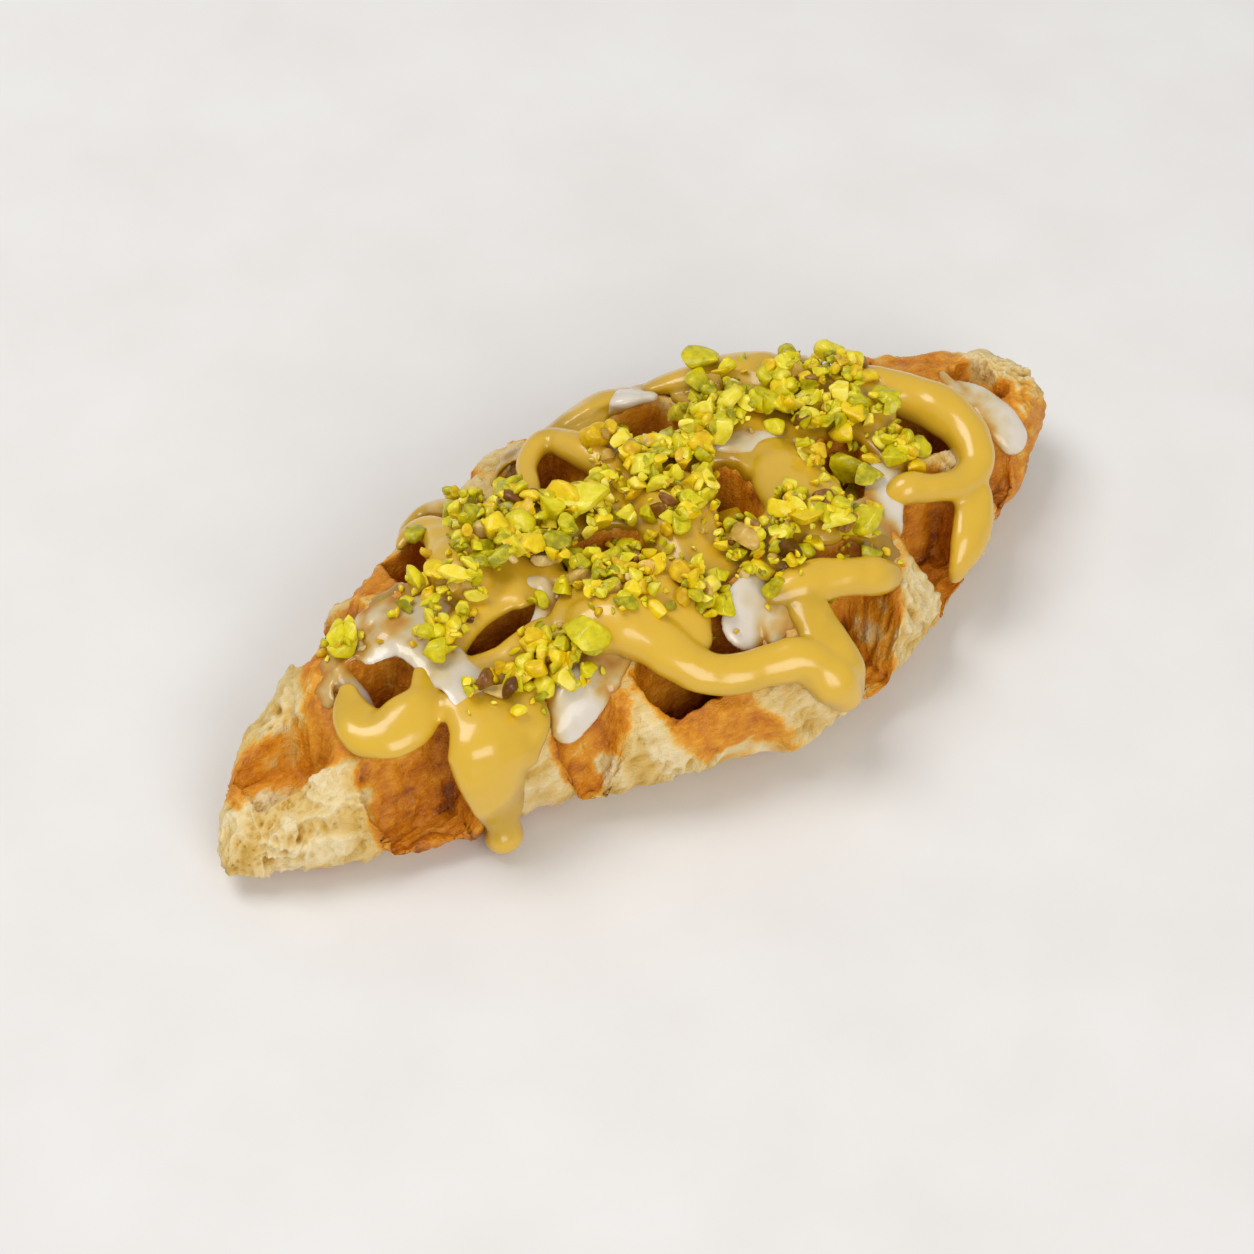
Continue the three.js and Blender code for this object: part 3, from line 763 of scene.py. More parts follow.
# %% Where the films lie
FILM = [  # x, y, half length, half width, turn in degrees, thickness
    (44, 16, 24, 17, -25, 1.9),
    (52, 2, 14, 13, 0, 1.8),
    (24, 12, 26, 19, 10, 1.3),
    (14, -8, 26, 17, 0, 1.6),
    (-8, -12, 16, 15, -30, 2.0),
    (2, 20, 18, 16, 0, 1.3),
    (-18, 8, 20, 18, 0, 1.4),
    (-34, 8, 16, 16, 0, 1.0),
    (-46, -6, 14, 12, 0, 1.2),
    (26, -22, 14, 9, -20, 1.5),
    (42, -6, 16, 12, 0, 1.5),
]
ICING_FILM = [
    (-47, 3, 12, 12, 20, 1.2),
    (-46, -10, 7, 11, 0, 1.2),
    (-25, -21, 12, 6, 10, 0.9),
    (6, -26, 14, 8, -10, 1.2),
    (41, -18, 7, 12, -30, 1.2),
    (19, 31, 9, 6, 0, 1.4),
    (76, -3, 5, 9, 0, 1.1),
    (-30, -2, 9, 8, 0, 0.9),
    (-60, 6, 7, 6, 0, 1.0),
    (28, 6, 10, 4, -20, 1.8),
]


# %% [markdown]
# Cream runs off a slope and doesn't bridge a hollow, so the film is thinner on slopes and stops at walls
# and at deep hollows.

# %% How thick a film is
FILM_X, FILM_Y = (-70, 80), (-42, 42)  # mm, the part of the pastry that films can lie on


def film_thickness(x, y, spacing, areas, seed):
    """Height and steepness of the dough and the film's thickness, in mm, for a grid of places.

    In an ellipse the thickness rises from its edge inwards. It is then multiplied by
    0.45 + 0.55 / (1 + (steepness / 1.2)^2), and fades out 5 to 9 mm deep and at a steepness of 2 to 3.
    """
    flat = np.stack([x.ravel(), y.ravel(), np.zeros(x.size)], 1)
    wander = (noise(flat, 7, seed) - 0.5) * 0.5 + (noise(flat, 3, seed + 1) - 0.5) * 0.2
    thick = np.zeros(x.size)
    for cx, cy, rx, ry, turn, t in areas:
        a = math.radians(turn)
        u = ((flat[:, 0] - cx) * math.cos(a) + (flat[:, 1] - cy) * math.sin(a)) / rx
        v = ((flat[:, 1] - cy) * math.cos(a) - (flat[:, 0] - cx) * math.sin(a)) / ry
        thick = np.maximum(thick, t * soft_step(1.0 - np.hypot(u, v) + wander, 0.0, 0.35))
    own, ground = dough_heights(x, y)
    rise = np.hypot(*np.gradient(ground, spacing)).ravel()
    thick *= 0.45 + 0.55 / (1 + (rise / 1.2) ** 2)
    into = (own - ground).ravel() + 3 * (noise(flat, 4, seed + 2) - 0.5)
    thick *= (1 - soft_step(into, 5, 9)) * (1 - soft_step(rise, 2.0, 3.0))
    return ground.ravel(), rise, thick


# %% [markdown]
# The sheet keeps the grid cells whose four corners have film. Its side walls stand where a cell has none
# beside it.

# %% The film as a closed sheet
THINNEST_FILM = 0.25  # mm


def film(areas, spacing, seed):
    """A closed sheet on the dough over the given ellipses."""
    x, y = np.meshgrid(np.arange(*FILM_X, spacing), np.arange(*FILM_Y, spacing), indexing="ij")
    ground, rise, thick = film_thickness(x, y, spacing, areas, seed)
    upper = np.stack([x.ravel(), y.ravel(), ground + thick], 1)
    lower = np.stack([x.ravel(), y.ravel(), ground - 1.0 - 0.5 * rise.clip(0, 4)], 1)
    there = (thick > THINNEST_FILM).reshape(x.shape)
    cell = there[:-1, :-1] & there[1:, :-1] & there[:-1, 1:] & there[1:, 1:]
    index = np.arange(x.size).reshape(x.shape)
    corners = [index[:-1, :-1], index[1:, :-1], index[1:, 1:], index[:-1, 1:]]
    top_faces = np.stack([c[cell] for c in corners], 1)
    faces = [top_faces, top_faces[:, ::-1] + x.size]
    padded = np.pad(cell, 1)
    sides = [((0, -1), 0, 1), ((1, 0), 1, 2), ((0, 1), 2, 3), ((-1, 0), 3, 0)]
    for (di, dj), a, b in sides:
        edge = cell & ~padded[1 + di : 1 + di + cell.shape[0], 1 + dj : 1 + dj + cell.shape[1]]
        p, q = corners[a][edge], corners[b][edge]
        faces.append(np.stack([q, p, p + x.size, q + x.size], 1))
    faces = np.concatenate(faces)
    used, faces = np.unique(faces, return_inverse=True)
    faces = faces.reshape(-1, 4)
    return np.concatenate([upper, lower])[used], np.concatenate([faces[:, :3], faces[:, [0, 2, 3]]])


# %% [markdown]
# # One poured piece
# Where one stroke crosses another, real cream has no seam. All shells go into one mesh as they are, and a
# voxel remesh fills a grid of small cubes wherever a shell is and wraps one new skin round the lot.
# Smoothing then melts the seams together the way thick cream does, and slow noise keeps the strokes from
# looking turned.


# %% Join, re-skin and smooth
def joined(shells):
    """The points and triangles of many shells as one list each."""
    starts = np.cumsum([0] + [len(p) for p, _ in shells[:-1]])
    faces = np.concatenate([f + start for (_, f), start in zip(shells, starts)])
    return np.concatenate([p for p, _ in shells]), faces


def poured(name, shells, cube, rounds):
    """Joins closed shells into one smooth mesh."""
    thing = mesh_object(name, *joined(shells))
    remesh = thing.modifiers.new("grid of cubes", "REMESH")
    remesh.mode, remesh.voxel_size = "VOXEL", cube * MM
    smooth = thing.modifiers.new("melt", "SMOOTH")
    smooth.factor, smooth.iterations = 0.5, rounds
    done = bpy.data.meshes.new_from_object(thing.evaluated_get(bpy.context.evaluated_depsgraph_get()))
    thing.modifiers.clear()
    thing.data = done
    done.polygons.foreach_set("use_smooth", np.full(len(done.polygons), True))
    outward = np.empty(len(done.vertices) * 3, np.float32)
    done.vertex_normals.foreach_get("vector", outward)
    points = points_of(thing)
    swell = 0.9 * (noise(points, 8, 71) - 0.5) + 0.4 * (noise(points, 3.5, 73) - 0.5)
    points += outward.reshape(-1, 3) * swell[:, None]
    done.vertices.foreach_set("co", ((points - CENTRE) * MM).astype(np.float32).ravel())
    done.update()
    print(name + ":", len(done.polygons), "faces")
    return thing


cream = poured("cream", [stroke(*s) for s in CREAM] + [film(FILM, 0.5, 41)], 0.55, 6)
icing = poured("icing", [stroke(*s) for s in ICING] + [film(ICING_FILM, 0.5, 61)], 0.45, 6)

# %% [markdown]
# # How thick it lies
# Thin icing lets the brown crust show through, and thin cream is darker, which next to the dough is
# painted shade along the strokes' lower edges. For every point we ask for the nearest place on the dough,
# and keep the distance in mm as a number that the material can read.


# %% Thickness
def tree_of(thing):
    """A search tree of an object's faces, in mm."""
    mesh = thing.data
    corners = np.empty(len(mesh.loops), np.int32)
    mesh.loops.foreach_get("vertex_index", corners)
    starts = np.empty(len(mesh.polygons), np.int32)
    mesh.polygons.foreach_get("loop_start", starts)
    faces = [part.tolist() for part in np.split(corners, starts[1:])]
    return BVHTree.FromPolygons(points_of(thing).tolist(), faces)


dough_tree = tree_of(dough)
for thing in (cream, icing):
    away = [dough_tree.find_nearest(point)[3] for point in points_of(thing).tolist()]
    set_values(thing, "thickness", away)
    print(thing.name, "lies", round(float(np.median(away)), 1), "mm off the dough")

# %% [markdown]
# # Chopped nuts
# A chopped nut has a few flat broken faces and a rounded outside. A cube would be too regular and a noisy
# ball too round. So we start from a ball and clamp it behind a handful of random planes: every point
# beyond a plane is pushed back onto it. Small crumbs are made from a coarser ball, since there are
# hundreds of them.


# %% One nut, many times
def unit_ball(level):
    """A ball of triangles: a twenty-sided solid split `level` times."""
    bm = bmesh.new()
    bmesh.ops.create_icosphere(bm, subdivisions=level, radius=1)
    points = np.array([v.co[:] for v in bm.verts])
    faces = np.array([[v.index for v in f.verts] for f in bm.faces])
    bm.free()
    return points, faces


COARSE_BALL, FINE_BALL = unit_ball(2), unit_ball(3)
FINE_FROM = 3.0  # mm, the length from which a piece is made from the fine ball
LARGE_FROM, FEW_CUTS, MANY_CUTS = 6.5, 8, 12  # mm, and how many planes cut a smaller and a larger piece
EDGE_ROUND = 0.09  # rounding of the broken edges, as a share of the ball's radius
rng = np.random.default_rng(20711)


def random_turn():
    """A turn to any side with equal chance, from four random numbers as a quaternion."""
    q = rng.normal(size=4)
    w, x, y, z = q / np.linalg.norm(q)
    return np.array(
        [
            [1 - 2 * (y * y + z * z), 2 * (x * y - w * z), 2 * (x * z + w * y)],
            [2 * (x * y + w * z), 1 - 2 * (x * x + z * z), 2 * (y * z - w * x)],
            [2 * (x * z - w * y), 2 * (y * z + w * x), 1 - 2 * (x * x + y * y)],
        ]
    )


def nut_shape(size):
    """Points and triangles of one chopped piece of the given length, in mm, around its own middle."""
    ball, faces = FINE_BALL if size > FINE_FROM else COARSE_BALL
    p = ball * (1 + 0.5 * (noise(ball * 10 + 50 * rng.random(3), 9, 51)[:, None] - 0.5))
    for _ in range(FEW_CUTS if size < LARGE_FROM else MANY_CUTS):
        way = rng.normal(size=3)
        way /= np.linalg.norm(way)
        over = p @ way - rng.uniform(0.35, 0.8)
        p = p - (0.5 * (over + np.hypot(over, EDGE_ROUND)))[:, None] * way
    p = p * np.array([1, rng.uniform(0.6, 0.95), rng.uniform(0.45, 0.8)])
    p = p * (1 + 0.2 * (noise(p * 10 + 50 * rng.random(3), 5, 53)[:, None] - 0.5))
    return p / np.ptp(p[:, 0]) * size, faces


# %% [markdown]
# # Dropping the nuts
# We cast one ray down for each spot of a fine map and keep the height of what it meets. Each nut rests on
# the map under it and then raises the map, so later ones lie on earlier ones. The thrown ones go from
# the largest to the smallest, and the listed ones come last, on top.

# %% The map of heights
STEP = 0.5  # mm
map_x, map_y = np.arange(-66, 72, STEP), np.arange(-40, 40, STEP)
trees = [dough_tree, tree_of(cream), tree_of(icing)]


def top_at(x, y):
    """Height of the dough or topping that a drop falling at (x, y) meets first, or 0."""
    hits = [tree.ray_cast(Vector((x, y, OFF_PLATE)), Vector((0, 0, -1)))[0] for tree in trees]
    return max((hit.z for hit in hits if hit), default=0.0)


heights = np.array([[top_at(x, y) for y in map_y] for x in map_x])
bare = heights.copy()
print("highest topping so far:", round(float(heights.max()), 1), "mm")

# %% [markdown]
# The heaps follow the hand that scattered them, a band from the left front to the right back. Within a heap
# the pieces lie by chance, denser in its middle. A few large ones, which one sees first, are listed one by
# one.

# %% The heaps
HEAPS = [  # x, y and spread in mm, and a number of pieces
    (52, 10, 5, 18),
    (48, -2, 6.5, 28),
    (42, 9, 6, 26),
    (30, 14.5, 6.5, 26),
    (15.5, 17, 6.5, 28),
    (21, 11, 8, 26),
    (8, 10, 8, 30),
    (-4, 9, 8, 22),
    (-9, -3.5, 10, 40),
    (-20, 17.5, 7, 24),
    (-17, 10, 6, 18),
    (-37, 5.5, 8, 22),
    (-24.5, 8, 6, 18),
    (-30, -16.5, 6, 20),
    (-40, -16, 4, 8),
    (-13, -12, 6, 16),
    (-2, -20.5, 4, 14),
    (-3, -24, 2, 4),
    (11, -17, 7, 24),
    (22, -16, 6, 20),
    (31, -22, 6, 20),
    (52, -12, 3.5, 10),
    (-47, -15, 2.5, 3),
    (-57, 11, 3.5, 10),
    (8, -4, 7, 20),
    (38, -5, 5, 14),
    (-45, 0, 4, 8),
    (56, 19, 4, 3),
]
LARGE = [  # x, y and length in mm, and the kind
    (-7.6, 8.2, 10.5, "green_nut"),
    (18.9, -2.2, 7.5, "yellow_nut"),
    (38, -4.8, 6.5, "yellow_nut"),
    (36, -2, 5, "yellow_nut"),
    (-25, -16, 7.5, "green_nut"),
    (-36, 5, 6.5, "yellow_nut"),
    (-13, -12, 6.5, "yellow_nut"),
    (44, -8, 8, "green_nut"),
    (55.5, 13.5, 6, "green_nut"),
    (33, 26, 5.5, "green_nut"),
    (34, -22, 7, "green_nut"),
    (24, -18, 8, "yellow_nut"),
    (-31, -17, 3.6, "skin_bit"),
    (45, 9, 4, "skin_bit"),
    (38, 2, 3.8, "skin_bit"),
    (5, -2, 3.8, "skin_bit"),
    (13, -15, 6, "tan_bit"),
]
KINDS = {"green_nut": 0.62, "yellow_nut": 0.32, "skin_bit": 0.02, "tan_bit": 0.04}  # shares of all pieces
MORE = 2.7  # pieces thrown for each one that the list counts
SMALLEST, LONGER = 1.2, 4.2  # mm, the shortest piece thrown and how much longer the longest is

spots = []
for x, y, spread, count in HEAPS:
    count = int(MORE * count)
    angle, reach = rng.uniform(0, 2 * np.pi, count), 0.62 * spread * rng.rayleigh(size=count)
    sizes = SMALLEST + LONGER * rng.random(count) ** 2
    kinds = rng.choice(list(KINDS), count, p=list(KINDS.values()))
    spots += list(zip(x + reach * np.cos(angle), y + reach * np.sin(angle), sizes, kinds))
spots = sorted(spots, key=lambda spot: -spot[2]) + LARGE
print("pieces thrown:", len(spots))

# %% [markdown]
# A small crumb comes to rest at any angle and a large piece nearly flat. Both settle on the higher spots
# under them and sink a little into the cream.

# %% Dropping them one by one
TUMBLES_BELOW = 4  # mm, length of a piece that can come to rest at any angle
LEAN = 0.5  # radians, how far a larger piece leans at most
PILE = 2.5  # mm, how far a piece can lie above the cream, on other pieces
LOWEST = 12.5  # mm above the ground: lower than this the nuts have fallen off
UNDER_IT = 0.45  # reach of the ground that carries a piece, as a share of its length
SUNK, PACKED = 0.22, 0.25  # shares of its height that a piece sinks in, and that the next one sinks into it
TOP_LIMIT = BOX[1][2] / MM - 0.3  # mm, just below the top of the measured solid


def plane_turn(a, i, j):
    """A turn by a radians from axis i towards axis j."""
    turn = np.eye(3)
    turn[i, i] = turn[j, j] = math.cos(a)
    turn[j, i], turn[i, j] = math.sin(a), -math.sin(a)
    return turn


def landed(size):
    """Points and triangles of one piece, turned the way it comes to rest."""
    lean = plane_turn(rng.uniform(-LEAN, LEAN), 2, 0)
    points, faces = nut_shape(size)
    points = points @ (random_turn() if size < TUMBLES_BELOW else lean).T
    return points @ plane_turn(rng.uniform(0, 2 * np.pi), 0, 1).T, faces


nut_shells = {kind: [] for kind in KINDS}
for x, y, size, kind in spots:
    i = slice(*np.searchsorted(map_x, (x - size / 2, x + size / 2)))
    j = slice(*np.searchsorted(map_y, (y - size / 2, y + size / 2)))
    near = np.hypot(map_x[i, None] - x, map_y[None, j] - y) < UNDER_IT * size
    if not near.any() or heights[i, j][near].min() < LOWEST:
        continue
    rest = min(np.percentile(heights[i, j][near], 70), np.percentile(bare[i, j][near], 70) + PILE)
    points, faces = landed(size)
    points[:, 2] += rest - points[:, 2].min() - SUNK * np.ptp(points[:, 2])
    too_high = points[:, 2].max() - TOP_LIMIT
    if too_high > 0.5 * np.ptp(points[:, 2]):
        continue
    points[:, 2] -= max(too_high, 0)
    points[:, :2] += (x, y)
    raised_to = points[:, 2].max() - PACKED * np.ptp(points[:, 2])
    heights[i, j][near] = np.maximum(heights[i, j][near], raised_to)
    nut_shells[kind].append((points, faces))

# %% [markdown]
# All pieces of one kind become one mesh. Every point of a piece stores the same random tint, so that the
# material can colour each piece a little differently.

# %% One mesh for each kind
BROKEN_EDGE = math.radians(48)  # faces that meet at a larger angle show an edge

nuts = []
for kind, shells in nut_shells.items():
    points, faces = joined(shells)
    thing = mesh_object(kind, points, faces)
    set_values(thing, "tint", np.repeat(rng.random(len(shells)), [len(p) for p, _ in shells]))
    thing.data.set_sharp_from_angle(angle=BROKEN_EDGE)
    nuts.append(thing)
    print(kind + ":", len(shells), "pieces,", len(faces), "triangles")

# %% [markdown]
# # Materials
# Each material is made of a colour with fine variation in it, a roughness, and a fine bump for what is
# smaller than the mesh can hold. Pattern scales are written in mm: a noise of one-millimetre lumps has
# scale 1000 in a scene in metres.


# %% Shader helpers
def new_material(name):
    """A new material, its node tree and its surface node."""
    material = bpy.data.materials.new(name)
    material.use_nodes = True
    tree = material.node_tree
    return material, tree, tree.nodes["Principled BSDF"]


def give(tree, node, **inputs):
    """Values or links for a node's inputs: Base_Color is the socket of that name, _0 the first socket."""
    for key, value in inputs.items():
        socket = node.inputs[int(key[1:]) if key[0] == "_" else key.replace("_", " ")]
        if isinstance(value, bpy.types.NodeSocket):
            tree.links.new(value, socket)
        else:
            socket.default_value = value


def add(tree, kind, settings=None, **inputs):
    """A shader node: settings are its own properties, inputs are values or links by socket name."""
    node = tree.nodes.new(kind)
    for key, value in (settings or {}).items():
        setattr(node, key, value)
    give(tree, node, **inputs)
    return node


def lumps_of(tree, size_mm, detail=3.0, stretch=(1, 1, 1)):
    """Noise with lumps of a real size, read from the object's own coordinates."""
    place = add(tree, "ShaderNodeTexCoord").outputs["Object"]
    scaled = add(tree, "ShaderNodeMapping", Vector=place, Scale=tuple(s / (size_mm * MM) for s in stretch))
    return add(tree, "ShaderNodeTexNoise", Vector=scaled.outputs[0], Scale=1.0, Detail=detail).outputs["Fac"]


def ramp(tree, value, stops):
    """Colours along a value: a list of (place, hex colour)."""
    node = add(tree, "ShaderNodeValToRGB", Fac=value)
    for _ in stops[2:]:
        node.color_ramp.elements.new(0.5)
    for element, (place, colour) in zip(node.color_ramp.elements, stops):
        element.position, element.color = place, hex_colour(colour)
    return node.outputs["Color"]


def maths(tree, operation, a, b=0.0, c=0.0):
    """One sum on two or three values or links; MULTIPLY_ADD is a times b plus c."""
    return add(tree, "ShaderNodeMath", {"operation": operation}, _0=a, _1=b, _2=c).outputs[0]


def spread(tree, value, low, high, to_low=0.0, to_high=1.0):
    """The value from low to high stretched to the range from to_low to to_high, and held there beyond."""
    ends = dict(From_Min=low, From_Max=high, To_Min=to_low, To_Max=to_high)
    return add(tree, "ShaderNodeMapRange", Value=value, **ends).outputs[0]


def stored(tree, name):
    """The number that each point of the mesh carries under this name."""
    return add(tree, "ShaderNodeAttribute", {"attribute_name": name}).outputs["Fac"]


def bumps(tree, height, strength, distance_mm):
    """A surface direction that a fine height pattern tilts."""
    node = add(tree, "ShaderNodeBump", Height=height, Strength=strength, Distance=distance_mm * MM)
    return node.outputs[0]


# %% [markdown]
# ## Baked dough
# Pale dough turns orange, then brown, where the iron touched. Butter makes the brown crust shine a
# little, and light goes a short way into the pale crumb. The colour isn't one ramp over the browning,
# because pale crumb takes its tones from how the folds lie and crust from how long it baked. So there are
# two ramps, and the browning mixes them. Low places in the relief are darker in both, as painted
# shade.

# %% How far each spot is baked, with painted shade and painted shine
ALONG = (0.35, 1, 1)  # lumps stretched along the roll, as the layers are
baked, tree, surface = new_material("baked_dough")
raised_for_shade = stored(tree, "raised")
# mottled: uneven heat; streaks: the layers' edges; grooves: painted shade, browner where the relief lies low
mottled = maths(tree, "MULTIPLY_ADD", lumps_of(tree, 2.2, 5.0), 0.4, -0.22)
streaks = maths(tree, "MULTIPLY_ADD", lumps_of(tree, 0.8, 5.0, ALONG), 0.34, -0.18)
groove_shade = maths(tree, "MULTIPLY_ADD", raised_for_shade, -0.4, 0.2)
# shut-in floors: a darker bake, and darker still as painted shade in the hollows
bake_shade_and_shine = maths(tree, "ADD", stored(tree, "brown"), maths(tree, "MULTIPLY", stored(tree, "shut_in_bake_and_shade"), 0.7))
bake_shade_and_shine = maths(tree, "ADD", maths(tree, "ADD", bake_shade_and_shine, groove_shade), maths(tree, "ADD", mottled, streaks))
# threads: thin curled lines, a little raised, where a noise passes through its middle value; they are paler,
# as pale strands and as painted shine along them
halfway = maths(tree, "ABSOLUTE", maths(tree, "SUBTRACT", lumps_of(tree, 1.7, 4.0, ALONG), 0.5))
threads_and_shine = spread(tree, halfway, 0.0, 0.045, 1.0, 0.0)
bake_shade_and_shine = maths(tree, "MULTIPLY_ADD", threads_and_shine, -0.13, maths(tree, "ADD", bake_shade_and_shine, 0.03))

# %% Colour, shine and grain of the dough
CRUST = [
    (0.2, "E2C070"), (0.36, "E8B048"), (0.5, "E29C26"),
    (0.66, "D68614"), (0.84, "BC6C0A"), (1.0, "844203"),
]
# the darker crumb tones go where the relief lies low, as painted shade in the crevices; the layers vary them
CRUMB_AND_SHADE = [(0.08, "B4882E"), (0.3, "D2AA56"), (0.52, "DFC07C"), (0.85, "EBD6A6")]
layers = maths(tree, "MULTIPLY_ADD", lumps_of(tree, 5, 4.0, (0.5, 1, 1)), 0.7, -0.35)
pale = ramp(tree, maths(tree, "ADD", layers, raised_for_shade), CRUMB_AND_SHADE)
crust = ramp(tree, bake_shade_and_shine, CRUST)
share = spread(tree, bake_shade_and_shine, 0.12, 0.46)
colour = add(tree, "ShaderNodeMix", {"data_type": "RGBA"}, _0=share, _6=pale, _7=crust).outputs[2]
tiny = maths(tree, "MULTIPLY", lumps_of(tree, 0.25, 3.0), 0.35)
grain = maths(tree, "ADD", lumps_of(tree, 0.7, 5.0, (0.7, 1, 1)), tiny)
grain = maths(tree, "MULTIPLY_ADD", threads_and_shine, 0.3, grain)
give(
    tree, surface,
    Base_Color=colour,
    Roughness=spread(tree, bake_shade_and_shine, 0.2, 0.9, 0.6, 0.33),  # dry crumb is matt, browned crust smoother
    Specular_IOR_Level=0.28,
    Subsurface_Weight=0.12,
    Subsurface_Radius=(1.0, 0.55, 0.25),
    Subsurface_Scale=1.2 * MM,  # light goes about a millimetre into the crumb and comes out warmer
    Coat_Weight=spread(tree, bake_shade_and_shine, 0.35, 0.8, 0.0, 0.15),  # butter, only on the brown crust
    Coat_Roughness=0.28,
    Normal=bumps(tree, grain, 0.7, 0.45),
)
dough.data.materials.append(baked)

# %% [markdown]
# ## Nut cream and icing
# Nut cream is thick and oily: a smooth, glossy skin with soft depth, darker where it lies thin. Since the
# thickness is the distance to the dough, that darkening is also painted shade along the strokes' lower edges.
# White icing is thinner and lets the brown of the crust through, so its colour goes from caramel to a
# greyish white with the thickness. A truly clear film would take longer to render and hardly look different.


# %% Cream and icing
def lying(tree, thick_mm, lump_mm, detail, uneven_share):
    """How thick it lies here, from 0 to 1 at thick_mm, made uneven by lumps."""
    lumps = maths(tree, "MULTIPLY_ADD", lumps_of(tree, lump_mm, detail), uneven_share, -uneven_share / 2)
    return maths(tree, "ADD", spread(tree, stored(tree, "thickness"), 0.0, thick_mm), lumps)


creamy, tree, surface = new_material("nut_cream")
# its darkest tone, where the cream lies thin or next to the dough, is painted shade
CREAM_TONES_AND_SHADE = [(0.0, "A0740A"), (0.3, "C29818"), (0.9, "DAAE2C")]
give(
    tree, surface,
    Base_Color=ramp(tree, lying(tree, 4.0, 6, 2.0, 0.4), CREAM_TONES_AND_SHADE),
    Roughness=0.3,
    IOR=1.47,  # nut oil
    Subsurface_Weight=0.1,
    Subsurface_Radius=(1.0, 0.7, 0.2),
    Subsurface_Scale=1.5 * MM,
    Coat_Weight=0.6,  # oil on top gives the sharp lights
    Coat_Roughness=0.13,
    Normal=bumps(tree, lumps_of(tree, 2.2, 2.0), 0.12, 0.3),
)
cream.data.materials.append(creamy)

sugar, tree, surface = new_material("white_icing")
ICING_TONES = [(0.05, "B87A24"), (0.3, "C8A050"), (0.6, "D2C09A"), (1.0, "DDD2C2")]
give(
    tree, surface,
    Base_Color=ramp(tree, lying(tree, 2.5, 4, 3.0, 0.5), ICING_TONES),
    Roughness=0.25,
    IOR=1.45,  # sugar syrup
    Subsurface_Weight=0.3,  # more than the cream: it looks milky
    Subsurface_Radius=(1.0, 0.88, 0.72),
    Subsurface_Scale=2 * MM,
    Coat_Weight=0.5,
    Coat_Roughness=0.05,  # set sugar is nearly a mirror in small lights
    Normal=bumps(tree, lumps_of(tree, 1.5, 3.0), 0.1, 0.3),
)
icing.data.materials.append(sugar)

# %% [markdown]
# ## Nuts
# Each kind has its own few colours. The stored tint shifts a whole piece, and fine noise shifts it
# within. The broken faces are moist with oil, so a thin coat lies over a grainy inside.

# %% Nut colours
NUT_COLOURS = {
    "green_nut": [(0.1, "968E04"), (0.35, "C6B806"), (0.65, "E2D00E"), (0.95, "F0E050")],
    "yellow_nut": [(0.1, "D0A004"), (0.4, "E8C208"), (0.7, "F2D616"), (0.95, "F6E466")],
    "skin_bit": [(0.1, "5E3608"), (0.5, "845014"), (0.9, "B08440")],
    "tan_bit": [(0.1, "B08A34"), (0.5, "D0A84C"), (0.9, "E6CC84")],
}
for thing in nuts:
    material, tree, surface = new_material(thing.name.replace("_", " ") + " broken face")
    shift = maths(tree, "MULTIPLY_ADD", stored(tree, "tint"), 0.7, -0.35)
    tone = maths(tree, "ADD", lumps_of(tree, 1.4, 4.0), shift)
    give(
        tree, surface,
        Base_Color=ramp(tree, tone, NUT_COLOURS[thing.name]),
        Roughness=0.4,
        Specular_IOR_Level=0.25,
        Coat_Weight=0.35,
        Coat_Roughness=0.1,
        Subsurface_Weight=0.15,
        Subsurface_Radius=(1.0, 0.85, 0.2),  # yellow light goes farthest in the flesh of a nut
        Subsurface_Scale=1.0 * MM,
        Normal=bumps(tree, lumps_of(tree, 0.6, 4.0), 0.5, 0.25),
    )
    thing.data.materials.append(material)

# %% [markdown]
# # Handing the pieces to the frame
# Every piece belongs to the one body and stands in for the coarse solid.

# %% Frame
for thing in (dough, cream, icing, *nuts):
    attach(thing, "root")
    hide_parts("croffle")

# %% [markdown]
# # Studio
# A pale floor, a large soft light from the left and behind, a second one from the front, and a camera with
# a long lens above the left front, where the photo was taken from.

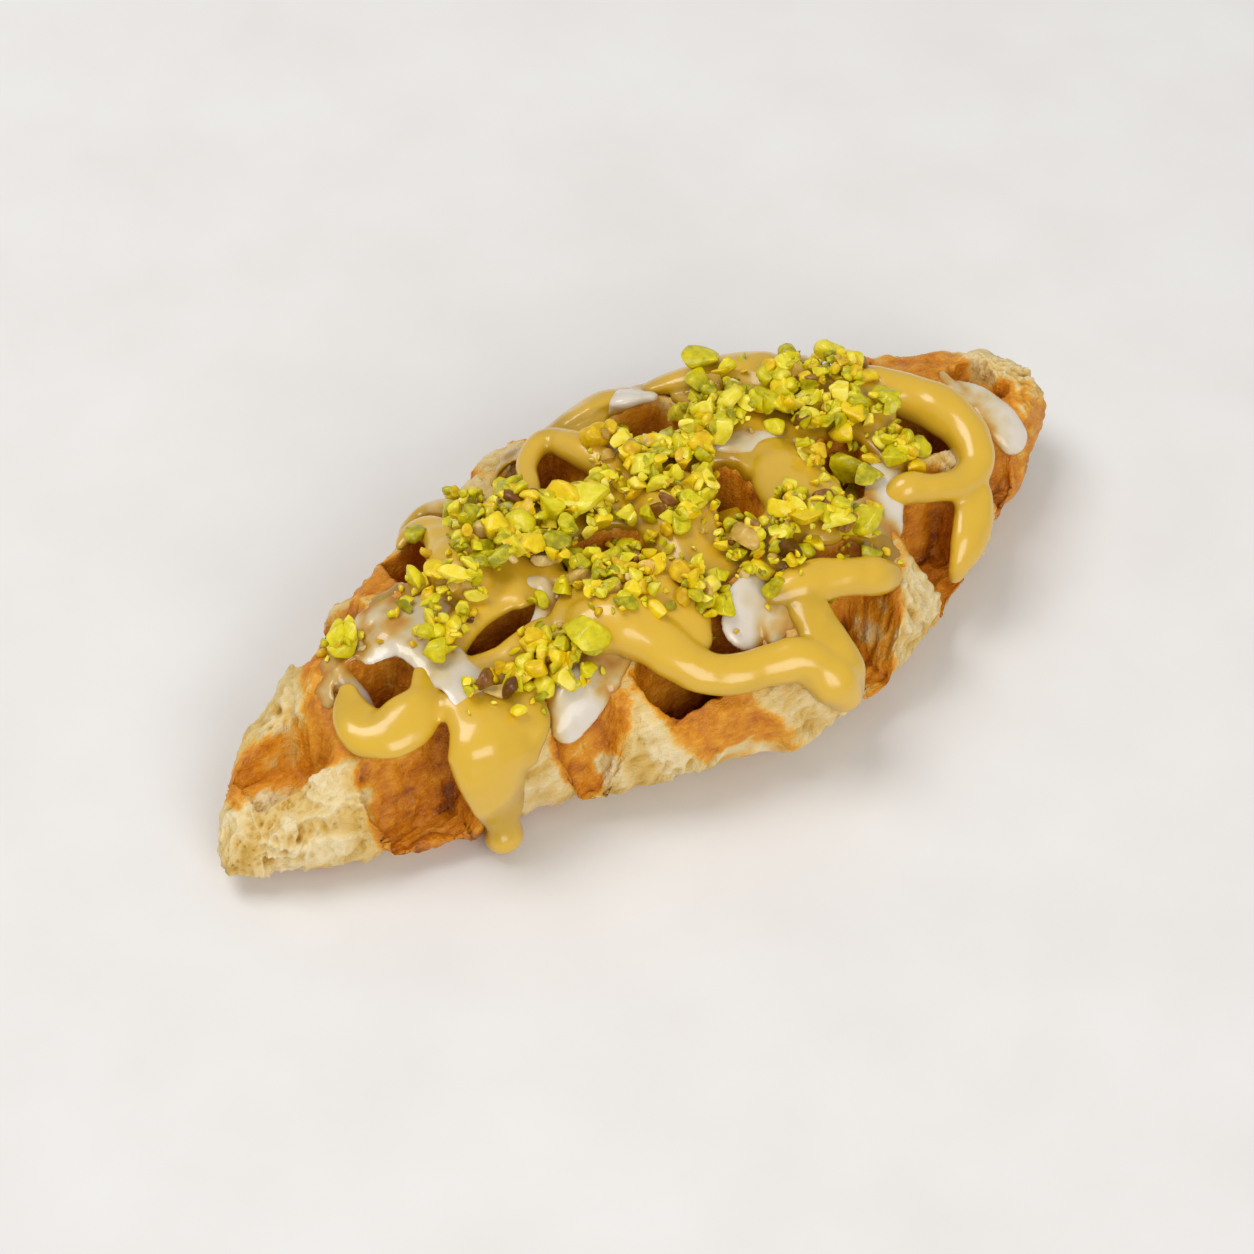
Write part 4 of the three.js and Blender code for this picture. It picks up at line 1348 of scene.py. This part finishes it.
# %% Floor
FLOOR_HALF = 900  # mm
UNDER_FOOT = -0.05  # mm, so that the floor and the flat foot don't flicker
corners = np.array([(-1, -1, 0), (1, -1, 0), (1, 1, 0), (-1, 1, 0)], float) * FLOOR_HALF
floor = mesh_object("floor", corners + (0, 0, UNDER_FOOT), np.array([[0, 1, 2, 3]]), smooth=False)
paper, tree, surface = new_material("pale_matt_board")
board = ramp(tree, lumps_of(tree, 30, 3.0), [(0.3, "E4E0DC"), (0.7, "E9E6E2")])
give(tree, surface, Base_Color=board, Roughness=0.9)
floor.data.materials.append(paper)


# %% Lights and room
def soft_light(name, place, size, watts):
    """A square light of the given size in metres, turned towards the pastry."""
    lamp = bpy.data.lights.new(name, "AREA")
    lamp.shape, lamp.size, lamp.energy = "SQUARE", size, watts
    thing = bpy.data.objects.new(name, lamp)
    turn = (Vector(place) * -1).to_track_quat("-Z", "Y").to_matrix().to_4x4()
    thing.matrix_world = Matrix.Translation(place) @ turn
    bpy.context.scene.collection.objects.link(thing)


soft_light("key", (-0.4, 0.5, 1.35), 0.8, 10.5)
soft_light("fill", (-0.3, -1.2, 0.8), 0.9, 10)
world = bpy.data.worlds.new("room")
world.use_nodes = True
sky = world.node_tree.nodes["Background"]
give(world.node_tree, sky, Color=hex_colour("F4F6F8"), Strength=0.48)
bpy.context.scene.world = world
bpy.context.scene.view_settings.view_transform = "Standard"

# %% [markdown]
# The camera was worked out once from the photo's perspective: where parallel lines meet far away gives the
# lens and the direction of sight, and how large things look gives the distance.

# %% Camera
EYE_MM = (-266.654, -327.6, 477.545)  # place of the lens
RIGHT = (0.8021055, -0.5963933, 0.0306890)  # direction that runs to the right in the picture
AHEAD = (0.4159744, 0.5211059, -0.7452609)  # direction of sight
right, ahead = Vector(RIGHT), Vector(AHEAD)
camera = bpy.data.cameras.new("camera")
camera.sensor_width, camera.lens = 36, 99.0
camera.clip_start, camera.clip_end = 0.02, 10
viewer = bpy.data.objects.new("camera", camera)
turn = Matrix((right, right.cross(ahead), -ahead)).transposed().to_4x4()
viewer.matrix_world = Matrix.Translation(Vector(EYE_MM) * MM) @ turn
bpy.context.scene.collection.objects.link(viewer)
bpy.context.scene.camera = viewer
